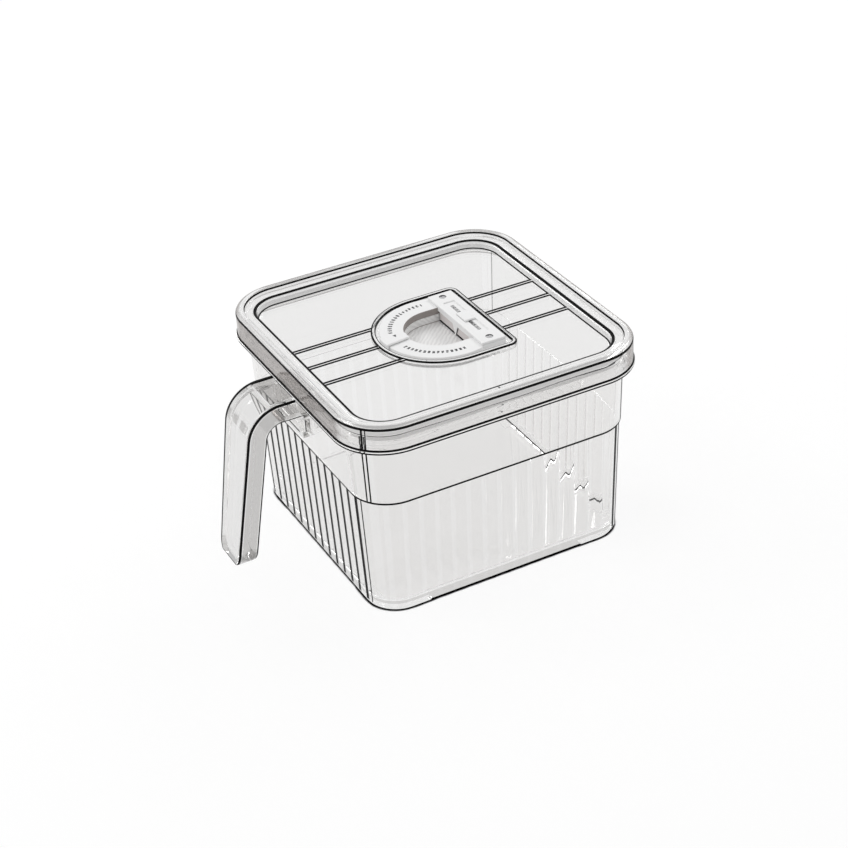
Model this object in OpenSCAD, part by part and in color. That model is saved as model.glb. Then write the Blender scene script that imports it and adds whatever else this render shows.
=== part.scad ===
// Square fridge container: a clear reeded bin with a clip-on carry handle, and a clear lift-off
// lid that carries a seal and a white date dial. Millimetres, +Z up. The origin is the centre of
// the base, at the height of the table. The handle is at the front, towards -Y.

/* [Bin] */
// Outside width of the square bin at its step line
bin_w = 143.6; // [130:0.2:170]
// Height of the bin's rim above the table
bin_h = 101.5; // [95:0.5:120]
// Lean of each wall, in degrees
bin_draft = 2.1; // [1.5:0.1:3]
// Outside corner radius at the step line
corner_r = 19.8; // [16:0.2:24]
// Thickness of the walls
wall_t = 2.2; // [1.8:0.1:2.8]
// Thickness of the floor
floor_t = 2.5; // [2:0.1:3.5]
// Round between the base and the walls
base_r = 1; // [0.8:0.1:2.5]
// Round between the floor and the walls, inside
inside_r = 3.8; // [2.5:0.1:5]
// Height of the step line above the table
step_h = 62.8; // [55:0.2:68]
// How far the reeded lower wall is set in under the step
step_in = 0.7; // [0.4:0.1:1]
// Height of the corner feet
foot_h = 1.3; // [1:0.1:2.5]
// Length of each foot along a side
foot_len = 27; // [22:1:35]
// Width of each foot
foot_w = 6; // [4:0.5:8]

/* [Reeds] */
// Distance from one groove to the next
reed_pitch = 8.3; // [6:0.1:12]
// Depth of the grooves between the reeds
reed_depth = 0.8; // [0.5:0.1:1]
// Width of the flat along the top of each reed
reed_flat = 2; // [1:0.1:3]

/* [Handle] */
// Width of the handle's arm and bend
handle_w = 28; // [24:0.5:34]
// Width of the leg at its tip
tip_w = 22.6; // [18:0.1:30]
// Thickness of the handle
handle_t = 10.6; // [8.5:0.1:12.5]
// Distance from the bin's rim to the centre of the bend
arm_len = 13.8; // [12:0.1:18]
// Inside radius of the bend
bend_r = 8.1; // [7:0.1:12]
// Length of the straight leg
leg_len = 70.5; // [55:0.5:72]
// Lean of the leg away from the bin, in degrees
leg_lean = 9.4; // [6:0.2:14]
// Corner radius of the leg's tip, seen from the front
tip_r = 8; // [5:0.5:10]
// Radius of the tip's outer edge, seen from the side
tip_out_r = 1.8; // [1:0.1:3]
// Radius of the tip's inner edge, seen from the side
tip_in_r = 4.5; // [2:0.1:5]
// Thickness of the flanges beside the thumb pocket
flange_t = 3.3; // [2.5:0.1:4.5]
// Length of the thumb pocket, out from the lid's edge
thumb_len = 11.6; // [8:0.1:13]
// Depth of the thumb pocket in the top of the arm
thumb_depth = 3.5; // [2.5:0.1:4.5]
// Thickness of the plate that slides into the bin's rails
plate_t = 2.5; // [2:0.1:3]
// Thickness of the rails
rail_t = 1.9; // [1.5:0.1:2.5]
// Depth of the plate's hold below the arm
hold_h = 8; // [7:0.5:12]

/* [Lid] */
// Gap between the bin's rim and the lid's skirt
skirt_gap = 2.3; // [1.8:0.1:3]
// Thickness of the skirt
skirt_t = 2.3; // [1.8:0.1:2.8]
// Depth of the skirt below the bin's rim
skirt_drop = 7.3; // [6:0.1:9]
// How far the bead stands out around the skirt's lower edge
bead_out = 0.7; // [0.4:0.1:1]
// Height of that bead
bead_h = 2.4; // [2:0.1:3.5]
// Thickness of the lid's panel and inner wall
lid_t = 2; // [1.6:0.1:2.4]
// Height of the panel's top over the bin's rim
panel_rise = 0.7; // [0.2:0.1:1.2]
// Height of the rim's top over the panel
rim_rise = 6.5; // [6:0.1:8]
// Width of the raised rim, from the skirt's face to the panel
rim_w = 10.4; // [9.6:0.1:12]
// Width of the bead along the rim's outer edge
crown_w = 4.4; // [4:0.1:5]
// Radius of the rim's outer edge
crown_r = 2.1; // [1.5:0.1:2.3]
// Radius of the rim's inner edges
edge_r = 1; // [0.6:0.1:1.4]
// Lean of the rim's inner faces over their height
face_lean = 0.4; // [0.2:0.1:0.8]
// Rise of the rim's inner band across its width
band_rise = 0.5; // [0.2:0.1:0.8]
// Width of the three stiffening ribs
rib_w = 2.9; // [2:0.1:4]
// Height of the ribs
rib_h = 0.5; // [0.3:0.1:0.8]
// Distance between the ribs
rib_pitch = 17.05; // [14:0.05:20]

/* [Seal] */
// Height of the seal over the bin's rim
seal_t = 2.6; // [2.2:0.1:3]
// Depth of the seal's lip inside the bin
seal_lip = 3; // [2:0.1:4]

/* [Dial pocket] */
// Distance of the dial's centre behind the lid's centre
dial_y = 5; // [0:0.5:10]
// Outside radius of the round end of the pocket
pocket_r = 33.6; // [32:0.1:38]
// Distance from the dial's centre to the pocket's straight edge
pocket_back = 26; // [25:0.1:32]
// Width of the pocket's bezel
bezel_w = 2.4; // [2:0.1:3]
// Height of the bezel over the panel
bezel_h = 0.7; // [0.4:0.1:1.2]
// Depth of the pocket's floor below the panel's top
pocket_depth = 2.9; // [2.7:0.1:3.5]
// Thickness of the pocket's floor and of the well below it
pocket_t = 1.5; // [1.2:0.1:2]
// Corner radius of the pocket
pocket_corner = 5; // [4:0.5:7]

/* [Dial] */
// Gap between the dial plate and the bezel, where the pointer's leg runs
moat_w = 1.6; // [1.5:0.1:2.2]
// Height of the dial plate's face over the panel
plate_rise = 0.8; // [0:0.1:1]
// Radius of the finger recess
recess_r = 17.5; // [15:0.1:19]
// Depth of the finger recess below the dial plate's face
recess_depth = 7.6; // [6:0.1:9]
// Distance from the dial's centre to the front of the month bar
bar_front = 8.2; // [7:0.1:10]
// Depth of the month bar, front to back
bar_depth = 13.2; // [12:0.1:14.5]
// Length of the month bar
bar_len = 55.2; // [50:0.2:57]
// Thickness of the month bar over the dial plate
bar_t = 1.4; // [1.2:0.1:2]
// Thickness of the bar's web, between the arms of the dial plate
web_t = 1.6; // [1.2:0.1:2]
// Reach of the recess under the bar
under_reach = 3.4; // [2.5:0.1:4]
// Width of the post under the bar, at its top
post_w = 5; // [4:0.5:9]
// How far the apron under the bar is set back from the bar's front
apron_set = 0.8; // [0.5:0.1:1]
// Thickness of the apron
apron_t = 0.8; // [0.6:0.1:1]
// Height of the slit under the apron
slit_h = 0.8; // [0.5:0.1:1.5]
// Distance from the bar's front to the middle of its month window and screws
window_set = 6.3; // [5.8:0.1:7]
// Length of the month window in the bar
window_len = 35.2; // [30:0.2:38]
// Width of the month window
window_w = 6.4; // [5:0.1:7]
// Depth of the month window
window_depth = 0.6; // [0.4:0.1:0.8]
// Thickness of the cup that lines the finger recess
cup_t = 1.2; // [0.9:0.1:1.6]
// Distance between the two screws of the bar
screw_gap = 46.9; // [44:0.1:49]
// Diameter of the screw heads
screw_head_d = 3.6; // [3:0.1:4]
// Diameter of the screw shanks
screw_d = 2; // [1.6:0.1:2.4]
// Width of the slots in the screw heads
drive_w = 0.6; // [0.4:0.1:0.8]
// Depth of those slots
drive_depth = 0.15; // [0.1:0.05:0.25]

/* [Pointers] */
// Half the angle that the day pointer takes up, in degrees
pointer_half = 7.5; // [4:0.5:8]
// Height of the pointers over the faces that they slide on
pointer_t = 1.2; // [0.8:0.1:1.6]
// Half the angle that the runner takes up, in degrees
runner_half = 9; // [7:0.5:11]
// Width of the runner's bearing under the dial plate
runner_w = 4; // [3:0.1:5]
// Thickness of the runner
runner_t = 1.1; // [0.9:0.1:1.2]
// Room for the runner under the arms of the dial plate, past the bar's front
runner_room = 2.8; // [2:0.1:4]
// Length of the month slider
slider_len = 9; // [7:0.1:11]
// Width of the slot that the month slider's neck runs in
slot_w = 2; // [1.6:0.1:2.6]
// Hold of the clip on each side of that slot
clip_side = 0.8; // [0.5:0.1:1]
// Thickness of the clip under the month slider
clip_t = 1; // [0.8:0.1:1.4]

/* [Clearances] */
// Gap between pieces that rest on each other
seat_gap = 0.1; // [0.05:0.05:0.2]
// Gap beside pieces that slide
slide_gap = 0.3; // [0.2:0.05:0.4]
// Gap between the lid's lower edge and the handle's arm
lid_gap = 0.8; // [0.5:0.1:1.5]

/* [Hidden] */
$fn = 64;
// How far a cut runs past the face that it opens
overcut = 1;
// How far volumes that are moulded as one run into each other
weld = 0.5;

// The bin: half widths at a height, and the centre of every rounded corner
lean = tan(bin_draft);
corner_c = bin_w / 2 - corner_r;
function upper_half(z) = bin_w / 2 + (z - step_h) * lean;
function lower_half(z) = upper_half(z) - step_in;
rim_half = upper_half(bin_h);
base_z = foot_h;
floor_top = base_z + floor_t;
function inner_half(z) = lower_half(z) - wall_t + step_in * (z - floor_top) / (bin_h - floor_top);

// The reeds
reed_count = floor((2 * corner_c + reed_pitch / 2) / reed_pitch);
reed_low = base_z - overcut;
reed_rise = (step_h - reed_low) / cos(bin_draft);
reed_arc_r = (pow((reed_pitch - reed_flat) / 2, 2) + pow(reed_depth, 2)) / (2 * reed_depth);

// The lid's levels and half widths
panel_top = bin_h + panel_rise;
panel_low = panel_top - lid_t;
rim_top = panel_top + rim_rise;
skirt_low = bin_h - skirt_drop;
skirt_in = rim_half + skirt_gap;
skirt_out = skirt_in + skirt_t;
panel_half = skirt_out - rim_w;
crown_in = skirt_out - crown_w;
channel_in = panel_half + lid_t;
ceiling = bin_h + seat_gap + seal_t + seat_gap;
band_top = ceiling + lid_t;
crown_ceiling = rim_top - skirt_t;
seal_out = crown_in - slide_gap;

// The handle: y runs outwards here, from the centre of the bin
plate_y = rim_half + slide_gap;
bend_y = rim_half + arm_len;
thumb_floor = skirt_low - lid_gap;
arm_top = thumb_floor + thumb_depth;
arm_low = arm_top - handle_t;
bend_out = bend_r + handle_t;
bend_z = arm_low - bend_r;
lip_clear = skirt_out + bead_out + lid_gap;
thumb_end = lip_clear + thumb_len;
hold_low = arm_low - hold_h;
rail_in = handle_w / 2 + slide_gap;
rail_out = rail_in + rail_t;
tip_z = bend_z + (bend_r + handle_t / 2) * sin(leg_lean) - leg_len * cos(leg_lean);
tip_slant = atan((handle_w - tip_w) / 2 / (bend_z - tip_z));
rail_face = plate_y + plate_t + slide_gap;
rail_wall = upper_half(hold_low - rail_t) - wall_t / 2;
grip_w = handle_w / 2 - flange_t;

// The dial: levels
bezel_top = panel_top + bezel_h;
pocket_floor = panel_top - pocket_depth;
plate_top = panel_top + plate_rise;
plate_low = pocket_floor + seat_gap;
recess_floor = plate_top - recess_depth;
cup_low = recess_floor - cup_t;
cup_top = plate_low - seat_gap;
well_floor = cup_low - seat_gap;
runner_low = pocket_floor + slide_gap / 2;
runner_top = runner_low + runner_t;
overhang_low = runner_top + slide_gap;
bar_low = plate_top + seat_gap;
bar_top = bar_low + bar_t;
web_low = bar_low - web_t;
window_floor = bar_top - window_depth;

// The dial: plan, measured from the dial's centre
pocket_in = pocket_r - bezel_w;
dial_r = pocket_in - moat_w;
runner_in = dial_r - runner_w;
wall_back = bar_front + under_reach;
window_y = bar_front + window_set;
cup_r = recess_r + cup_t;
cup_back = wall_back + cup_t;
well_r = cup_r + seat_gap;
well_back = cup_back + seat_gap;
thick_from = bar_front + runner_room;
boss_r = screw_d / 2 + pocket_t;
screw_top = bar_top - window_depth / 2;
screw_low = pocket_floor - pocket_t;
slot_len = window_len - slider_len + slot_w;
clip_w = slot_w + 2 * clip_side;
leg_in = dial_r + slide_gap;
leg_out = pocket_in - slide_gap;

// Points of an arc about c, from one angle to another
function arc(c, r, from, to, steps = 8) =
  [for (i = [0:steps]) let (a = from + (to - from) * i / steps) c + r * [cos(a), sin(a)]];

// Carries a section round a square with rounded corners. Each point of the section is its distance
// from the middle of the square and its height.
module round_square_sweep(section) {
  for (k = [0:3]) rotate(90 * k) {
    translate([0, corner_c, 0]) rotate([90, 0, 0]) linear_extrude(2 * corner_c) polygon(section);
    translate([corner_c, corner_c, 0]) rotate_extrude(angle = 90)
      polygon([for (p = section) p - [corner_c, 0]]);
  }
}

// The square in the middle of a floor or panel, inside the swept border
module core(low, high) {
  translate([-corner_c, -corner_c, low]) cube([2 * corner_c, 2 * corner_c, high - low]);
}

// Plan of a D: round towards -Y and straight at the back, about the dial's centre
module d_plan(r, back, corner) {
  intersection() {
    circle(r);
    translate([-2 * r, -2 * r]) square([4 * r, 2 * r]);
  }
  translate([-r, 0]) square([2 * r, back - corner]);
  translate([corner - r, back - corner]) square([2 * (r - corner), corner]);
  for (side = [-1, 1]) translate([side * (r - corner), back - corner]) intersection() {
    circle(corner);
    translate([side < 0 ? -2 * corner : 0, 0]) square(2 * corner);
  }
}

// Plan of the finger recess: round towards -Y, with straight sides to a flat back
module recess_plan(r, back) {
  intersection() {
    circle(r);
    translate([-2 * r, -2 * r]) square([4 * r, 2 * r]);
  }
  translate([-r, 0]) square([2 * r, back]);
}

// Plan of a wedge of angle about -Y, between two radii
module ring_wedge(r_in, r_out, half) {
  intersection() {
    difference() {
      circle(r_out);
      circle(r_in);
    }
    polygon([[0, 0], 2 * r_out * [-sin(half), -cos(half)], 2 * r_out * [sin(half), -cos(half)]]);
  }
}

// Puts a plan at the dial, between two levels
module at_dial(low, high) {
  translate([0, dial_y, low]) linear_extrude(high - low) children();
}

// Section of the bin's wall, base round and floor border
function bin_section() =
  let (
    foot = lower_half(base_z + base_r) - base_r,
    inside_foot = inner_half(floor_top + inside_r) - inside_r
  ) concat(
    [[corner_c, base_z]],
    arc([foot, base_z + base_r], base_r, -90, 0),
    [
      [lower_half(step_h), step_h],
      [upper_half(step_h), step_h],
      [rim_half, bin_h],
      [inner_half(bin_h), bin_h],
    ],
    arc([inside_foot, floor_top + inside_r], inside_r, 0, -90),
    [[corner_c, floor_top]]
  );

// Plan of one groove between two round reeds, with its mouth along +X
module groove_plan() {
  mouth = (reed_pitch - reed_flat) / 2;
  difference() {
    translate([-reed_depth, -mouth]) square([reed_depth * 2, 2 * mouth]);
    for (side = [-1, 1]) translate([-reed_arc_r, side * mouth]) circle(reed_arc_r);
  }
}

// The grooves of all four sides
module grooves() {
  for (k = [0:3], i = [0:reed_count])
    rotate(90 * k)
      translate([lower_half(reed_low), (i - reed_count / 2) * reed_pitch, reed_low])
        rotate([0, bin_draft, 0])
          linear_extrude(reed_rise) groove_plan();
}

// The four corner feet
module feet() {
  outer = lower_half(base_z + base_r) - base_r;
  inner = outer - foot_w;
  top = foot_h + floor_t / 2;
  intersection() {
    round_square_sweep([[inner, 0], [outer, 0], [outer, top], [inner, top]]);
    for (x = [-1, 1], y = [-1, 1]) {
      translate([x * lower_half(0), y * lower_half(0), 0])
        cube([2 * foot_len, 2 * foot_len, 4 * foot_h + floor_t], center = true);
    }
  }
}

// Rails on the bin's front wall that hold the handle's plate, with a stop under it
module handle_rails() {
  depth = rail_face + rail_t - rail_wall;
  for (side = [-1, 1]) {
    translate([side > 0 ? rail_in : -rail_out, -rail_wall - depth, hold_low - rail_t])
      cube([rail_t, depth, hold_h + rail_t]);
    translate([side > 0 ? rail_in - rail_t : -rail_out, -rail_face - rail_t, hold_low - rail_t])
      cube([2 * rail_t, rail_t, hold_h + rail_t - slide_gap]);
  }
  translate([-rail_out, -rail_wall - depth, hold_low - rail_t])
    cube([2 * rail_out, depth, rail_t - seat_gap]);
}

module container_bin() {
  color([0.86, 0.87, 0.87, 0.4]) {
    difference() {
      union() {
        round_square_sweep(bin_section());
        core(base_z, floor_top);
      }
      grooves();
    }
    feet();
    handle_rails();
  }
}

// Side view of the handle: x is the distance out from the bin's centre, y is the height
module handle_side() {
  bend = [bend_y, bend_z];
  leg = leg_len * [sin(leg_lean), -cos(leg_lean)];
  out = [cos(leg_lean), sin(leg_lean)];
  tip_out = bend + bend_out * out + leg;
  tip_in = bend + bend_r * out + leg;
  up = [-sin(leg_lean), cos(leg_lean)];
  polygon(concat(
    [[plate_y, arm_low], [plate_y, arm_top]],
    arc(bend, bend_out, 90, leg_lean, 16),
    arc(tip_out + tip_out_r * (up - out), tip_out_r, leg_lean, leg_lean - 90, 6),
    arc(tip_in + tip_in_r * (up + out), tip_in_r, leg_lean - 90, leg_lean - 180, 6),
    arc(bend, bend_r, leg_lean, 90, 16)
  ));
}

// Front view of the handle: the leg gets narrower towards its rounded tip
module handle_front() {
  reach = tip_w / 2 + tip_r * tan(tip_slant) - tip_r / cos(tip_slant);
  polygon(concat(
    [[handle_w / 2, arm_top + overcut], [handle_w / 2, bend_z]],
    arc([reach, tip_z + tip_r], tip_r, -tip_slant, -90),
    arc([-reach, tip_z + tip_r], tip_r, -90, tip_slant - 180),
    [[-handle_w / 2, bend_z], [-handle_w / 2, arm_top + overcut]]
  ));
}

module carry_handle() {
  color([0.88, 0.89, 0.89, 0.4]) {
    difference() {
      intersection() {
        translate([-handle_w, 0, 0]) rotate([90, 0, 90]) linear_extrude(2 * handle_w)
          mirror([1, 0]) handle_side();
        translate([0, overcut - plate_y, 0]) rotate([90, 0, 0]) linear_extrude(leg_len)
          handle_front();
      }
      translate([-grip_w, -thumb_end, thumb_floor])
        cube([2 * grip_w, thumb_end - plate_y + overcut, 2 * thumb_depth]);
      translate([-handle_w, -lip_clear, thumb_floor])
        cube([2 * handle_w, lip_clear - plate_y + overcut, 2 * thumb_depth]);
    }
    translate([-handle_w / 2, -plate_y - plate_t, hold_low])
      cube([handle_w, plate_t, thumb_floor - hold_low]);
  }
}

// Section of the lid's skirt, rim and panel border
function lid_section() =
  let (bead_r = (bead_h - bead_out) / 2) concat(
    [[skirt_in, skirt_low]],
    arc([skirt_out + bead_out - bead_r, skirt_low + bead_r], bead_r, -90, 0, 4),
    [[skirt_out + bead_out, skirt_low + bead_h - bead_out], [skirt_out, skirt_low + bead_h]],
    arc([skirt_out - crown_r, rim_top - crown_r], crown_r, 0, 90, 6),
    arc([crown_in + edge_r, rim_top - edge_r], edge_r, 90, 180, 4),
    [[crown_in - face_lean, band_top + band_rise]],
    arc([panel_half + edge_r, band_top - edge_r], edge_r, 90, 180, 4),
    [
      [panel_half - face_lean, panel_top],
      [corner_c, panel_top],
      [corner_c, panel_low],
      [channel_in, panel_low],
      [channel_in, ceiling],
      [crown_in, ceiling],
      [crown_in + face_lean, crown_ceiling],
      [skirt_in, crown_ceiling],
    ]
  );

// The three ribs, from the rim to the bezel on both sides of the dial
module lid_ribs() {
  for (i = [-1:1]) translate([i * rib_pitch - rib_w / 2, -panel_half, panel_low])
    cube([rib_w, 2 * panel_half, lid_t + rib_h]);
}

module lid_shell() {
  color([0.88, 0.89, 0.89, 0.35]) difference() {
    union() {
      difference() {
        union() {
          round_square_sweep(lid_section());
          core(panel_low, panel_top);
          lid_ribs();
        }
        at_dial(panel_low - overcut, panel_top + overcut)
          d_plan(pocket_r - weld, pocket_back - weld, pocket_corner);
      }
      at_dial(pocket_floor - pocket_t, bezel_top) d_plan(pocket_r, pocket_back, pocket_corner);
      at_dial(well_floor - pocket_t, pocket_floor) recess_plan(well_r + pocket_t, well_back + pocket_t);
      for (side = [-1, 1]) translate([side * screw_gap / 2, dial_y + window_y, screw_low - pocket_t])
        cylinder(r = boss_r, h = pocket_t * 2);
    }
    at_dial(pocket_floor, bezel_top + overcut)
      d_plan(pocket_in, pocket_back - bezel_w, pocket_corner - bezel_w);
    at_dial(well_floor, bezel_top) recess_plan(well_r, well_back);
    for (side = [-1, 1]) translate([side * screw_gap / 2, dial_y + window_y, screw_low])
      cylinder(d = screw_d + seat_gap, h = pocket_t * 2);
  }
}

module lid_seal() {
  seal_low = bin_h + seat_gap;
  seal_in = channel_in + seat_gap;
  lip_out = inner_half(bin_h - seal_lip) - slide_gap;
  color([0.93, 0.93, 0.92, 0.8]) round_square_sweep([
    [seal_in, bin_h - seal_lip],
    [lip_out, bin_h - seal_lip],
    [lip_out, seal_low],
    [seal_out, seal_low],
    [seal_out, seal_low + seal_t],
    [seal_in, seal_low + seal_t],
  ]);
}

module recess_cup() {
  color([0.9, 0.9, 0.9]) difference() {
    at_dial(cup_low, cup_top) recess_plan(cup_r, cup_back);
    at_dial(recess_floor, cup_top + overcut) recess_plan(recess_r, wall_back);
  }
}

// Plan of the dial plate without its recess
module dial_plan() {
  intersection() {
    circle(dial_r);
    translate([-2 * dial_r, -2 * dial_r]) square([4 * dial_r, 2 * dial_r + bar_front]);
  }
  translate([-bar_len / 2, bar_front - weld]) square([bar_len, bar_depth + weld]);
}

module dial_plate() {
  color([0.97, 0.97, 0.97]) difference() {
    at_dial(plate_low, plate_top) dial_plan();
    at_dial(plate_low - overcut, plate_top + overcut) recess_plan(recess_r, cup_back);
    at_dial(plate_low - overcut, plate_top + overcut)
      translate([-recess_r, bar_front]) square([2 * recess_r, bar_depth + overcut]);
    at_dial(plate_low - overcut, overhang_low) difference() {
      translate([-2 * dial_r, -2 * dial_r]) square([4 * dial_r, 2 * dial_r + thick_from]);
      circle(runner_in - slide_gap);
    }
    for (side = [-1, 1]) translate([side * screw_gap / 2, dial_y + window_y, plate_low - overcut])
      cylinder(d = screw_d + seat_gap, h = plate_top - plate_low + 2 * overcut);
  }
}

// The bar over the back of the recess, with the month window. Under its front an apron and a tapered
// post close the recess, down to a slit over the floor.
module month_bar() {
  apron_y = bar_front + apron_set;
  post_y = bar_front + 2 * seat_gap;
  color([0.98, 0.98, 0.98]) {
    difference() {
      union() {
        at_dial(bar_low, bar_top)
          translate([-bar_len / 2, bar_front]) square([bar_len, bar_depth]);
        at_dial(web_low, bar_low + bar_t / 2)
          translate([slide_gap - recess_r, bar_front]) square([2 * (recess_r - slide_gap), bar_depth]);
      }
      at_dial(window_floor, bar_top + overcut)
        translate([-window_len / 2, window_y - window_w / 2]) square([window_len, window_w]);
      at_dial(web_low - overcut, bar_top)
        translate([-slot_len / 2, window_y - slot_w / 2]) square([slot_len, slot_w]);
      for (side = [-1, 1]) translate([side * screw_gap / 2, dial_y + window_y, 0]) {
        translate([0, 0, bar_low - overcut]) cylinder(d = screw_d + seat_gap, h = bar_t + 2 * overcut);
        translate([0, 0, window_floor]) cylinder(d = screw_head_d + 2 * seat_gap, h = bar_t);
      }
    }
    at_dial(recess_floor + slit_h, web_low + weld)
      translate([slide_gap - recess_r, apron_y]) square([2 * (recess_r - slide_gap), apron_t]);
    translate([0, dial_y + apron_y + apron_t / 2, 0]) rotate([90, 0, 0])
      linear_extrude(apron_y + apron_t / 2 - post_y)
        polygon([
          [-post_w / 2, web_low],
          [0, recess_floor + seat_gap],
          [post_w / 2, web_low],
          [post_w / 2, web_low + weld],
          [-post_w / 2, web_low + weld],
        ]);
  }
}

module bar_screws() {
  color([0.75, 0.75, 0.76]) for (side = [-1, 1])
    translate([side * screw_gap / 2, dial_y + window_y, 0]) difference() {
      union() {
        translate([0, 0, screw_low + seat_gap]) cylinder(d = screw_d, h = screw_top - screw_low - seat_gap);
        translate([0, 0, window_floor + seat_gap])
          cylinder(d = screw_head_d, h = screw_top - window_floor - seat_gap);
      }
      translate([-screw_head_d, -drive_w / 2, screw_top - drive_depth])
        cube([2 * screw_head_d, drive_w, overcut]);
    }
}

// The tab that points at a day, with the leg that runs in the moat
module day_pointer() {
  face = plate_top + slide_gap;
  color([0.98, 0.98, 0.98]) {
    at_dial(face, face + pointer_t) ring_wedge(recess_r + slide_gap, leg_out, pointer_half);
    at_dial(runner_top, face + pointer_t) ring_wedge(leg_in, leg_out, pointer_half);
  }
}

module pointer_runner() {
  color([0.85, 0.85, 0.86])
    at_dial(runner_low, runner_top) ring_wedge(runner_in, leg_out, runner_half);
}

// The tab that points at a month, with its neck through the bar's slot
module month_slider() {
  face = window_floor + slide_gap / 2;
  width = window_w - 2 * slide_gap;
  color([0.99, 0.99, 0.99]) {
    at_dial(face, bar_top + pointer_t / 2)
      translate([-slider_len / 2, window_y - width / 2]) square([slider_len, width]);
    at_dial(web_low - slide_gap, bar_top)
      translate([slide_gap - slot_w, window_y - slot_w / 2 + slide_gap])
        square([2 * (slot_w - slide_gap), slot_w - 2 * slide_gap]);
  }
}

module slider_clip() {
  color([0.85, 0.85, 0.86]) at_dial(web_low - slide_gap - clip_t, web_low - slide_gap)
    translate([-slider_len / 2, window_y - clip_w / 2]) square([slider_len, clip_w]);
}

container_bin();
carry_handle();
lid_shell();
lid_seal();
recess_cup();
dial_plate();
month_bar();
bar_screws();
day_pointer();
pointer_runner();
month_slider();
slider_clip();
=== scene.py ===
# %% [markdown]
# # A clear fridge container with a date dial
# This lesson dresses a finished construction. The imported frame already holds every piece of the
# container at its true size: the bin, the handle, the lid and the small pieces of the dial. Here
# each of them gets the rounded edges, the clear plastic and the print that a mould and a printer
# would give it. Nothing that moves is moved here: a new piece only takes the place of the plain
# one and rides on the same body.

# %% Load the frame
import math

import bmesh
import bpy
import numpy as np
from mathutils import Matrix, Vector


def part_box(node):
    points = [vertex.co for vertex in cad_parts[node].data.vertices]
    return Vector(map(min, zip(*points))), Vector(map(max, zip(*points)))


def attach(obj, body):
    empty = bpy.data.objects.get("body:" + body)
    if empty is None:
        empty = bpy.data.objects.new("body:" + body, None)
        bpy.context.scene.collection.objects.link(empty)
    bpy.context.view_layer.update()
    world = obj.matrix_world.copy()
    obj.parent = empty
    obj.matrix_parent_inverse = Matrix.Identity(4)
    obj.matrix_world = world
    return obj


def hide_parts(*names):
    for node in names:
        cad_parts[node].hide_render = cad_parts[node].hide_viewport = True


MM = 0.001
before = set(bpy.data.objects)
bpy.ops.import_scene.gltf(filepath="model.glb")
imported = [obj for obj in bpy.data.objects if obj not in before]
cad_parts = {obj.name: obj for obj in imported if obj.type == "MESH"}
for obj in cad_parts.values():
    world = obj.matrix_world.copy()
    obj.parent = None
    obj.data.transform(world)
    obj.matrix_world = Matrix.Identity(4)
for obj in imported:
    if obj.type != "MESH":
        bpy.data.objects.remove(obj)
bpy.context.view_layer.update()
scene = bpy.context.scene

# %% [markdown]
# ## The camera
# A photograph is matched by its angle first. Four numbers place the camera: how far it is turned
# round the object, how far it looks down, how it is rolled, and its focal length in pixels of a
# square picture. They were fitted to the whole outline, with the lid taken as a square. The lens
# then follows from the focal length, because the sensor is as wide as the picture.

# %% Camera
PICTURE_PX = 848
FOCAL_PX = 1970.0
SENSOR_MM = 36
CAMERA_TURN, CAMERA_RISE, CAMERA_ROLL = (math.radians(a) for a in (63.85, 32.18, -3.64))
AIM = Vector((0, 0, 102.2))  # the middle of the lid's panel
AIM_RIGHT, AIM_UP, AIM_AWAY = 3.2, 45.0, 954.6  # where the camera sees that point, in mm


def photo_camera():
    """The camera of the photograph, from its angles and from where it sees the middle of the lid."""
    back = Vector((
        math.sin(CAMERA_TURN) * math.cos(CAMERA_RISE),
        -math.cos(CAMERA_TURN) * math.cos(CAMERA_RISE),
        math.sin(CAMERA_RISE),
    ))
    level = Vector((math.cos(CAMERA_TURN), math.sin(CAMERA_TURN), 0))
    upright = back.cross(level)
    right = math.cos(CAMERA_ROLL) * level + math.sin(CAMERA_ROLL) * upright
    up = math.cos(CAMERA_ROLL) * upright - math.sin(CAMERA_ROLL) * level
    place = (AIM - AIM_RIGHT * right - AIM_UP * up + AIM_AWAY * back) * MM
    lens = bpy.data.cameras.new("photo_camera")
    lens.sensor_width = SENSOR_MM
    lens.lens = FOCAL_PX / PICTURE_PX * SENSOR_MM
    lens.clip_start, lens.clip_end = 0.05, 50
    camera = bpy.data.objects.new("photo_camera", lens)
    turn = Matrix((right, up, back)).transposed().to_4x4()
    camera.matrix_world = Matrix.Translation(place) @ turn
    scene.collection.objects.link(camera)
    return camera


scene.camera = photo_camera()
print("camera at", [round(x, 3) for x in scene.camera.location])

# %% [markdown]
# ## The studio
# Clear plastic has almost no colour of its own, so it is drawn by what stands around it. A studio
# lights it in a bright field: a white table that shows straight through the walls, and darkness
# above, which only the edges and the curved corners pick up. The table is white to the camera, to
# reflections and to what is seen through the plastic, and to ordinary light it stays a table that
# takes the object's shadow.

# %% Node helpers
def new_material(name):
    """An empty node material, with its tree and its output node."""
    material = bpy.data.materials.new(name)
    material.use_nodes = True
    tree = material.node_tree
    tree.nodes.clear()
    output = tree.nodes.new("ShaderNodeOutputMaterial")
    return material, tree, output


def add_node(tree, kind, *feeds, **values):
    """Adds a node. Feeds go to its first inputs, and values to the named ones, with _ for a blank.

    What comes out of another node is linked, and anything else is set."""
    node = tree.nodes.new("ShaderNode" + kind)
    targets = list(zip(node.inputs, feeds))
    for key, value in values.items():
        socket = node.inputs.get(key.replace("_", " "))
        if socket is None:
            setattr(node, key, value)
        else:
            targets.append((socket, value))
    for socket, value in targets:
        if isinstance(value, bpy.types.NodeSocket):
            tree.links.new(value, socket)
        else:
            socket.default_value = value
    return node


def result(tree, kind, *feeds, **values):
    """The first output of a new node."""
    return add_node(tree, kind, *feeds, **values).outputs[0]


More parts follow.
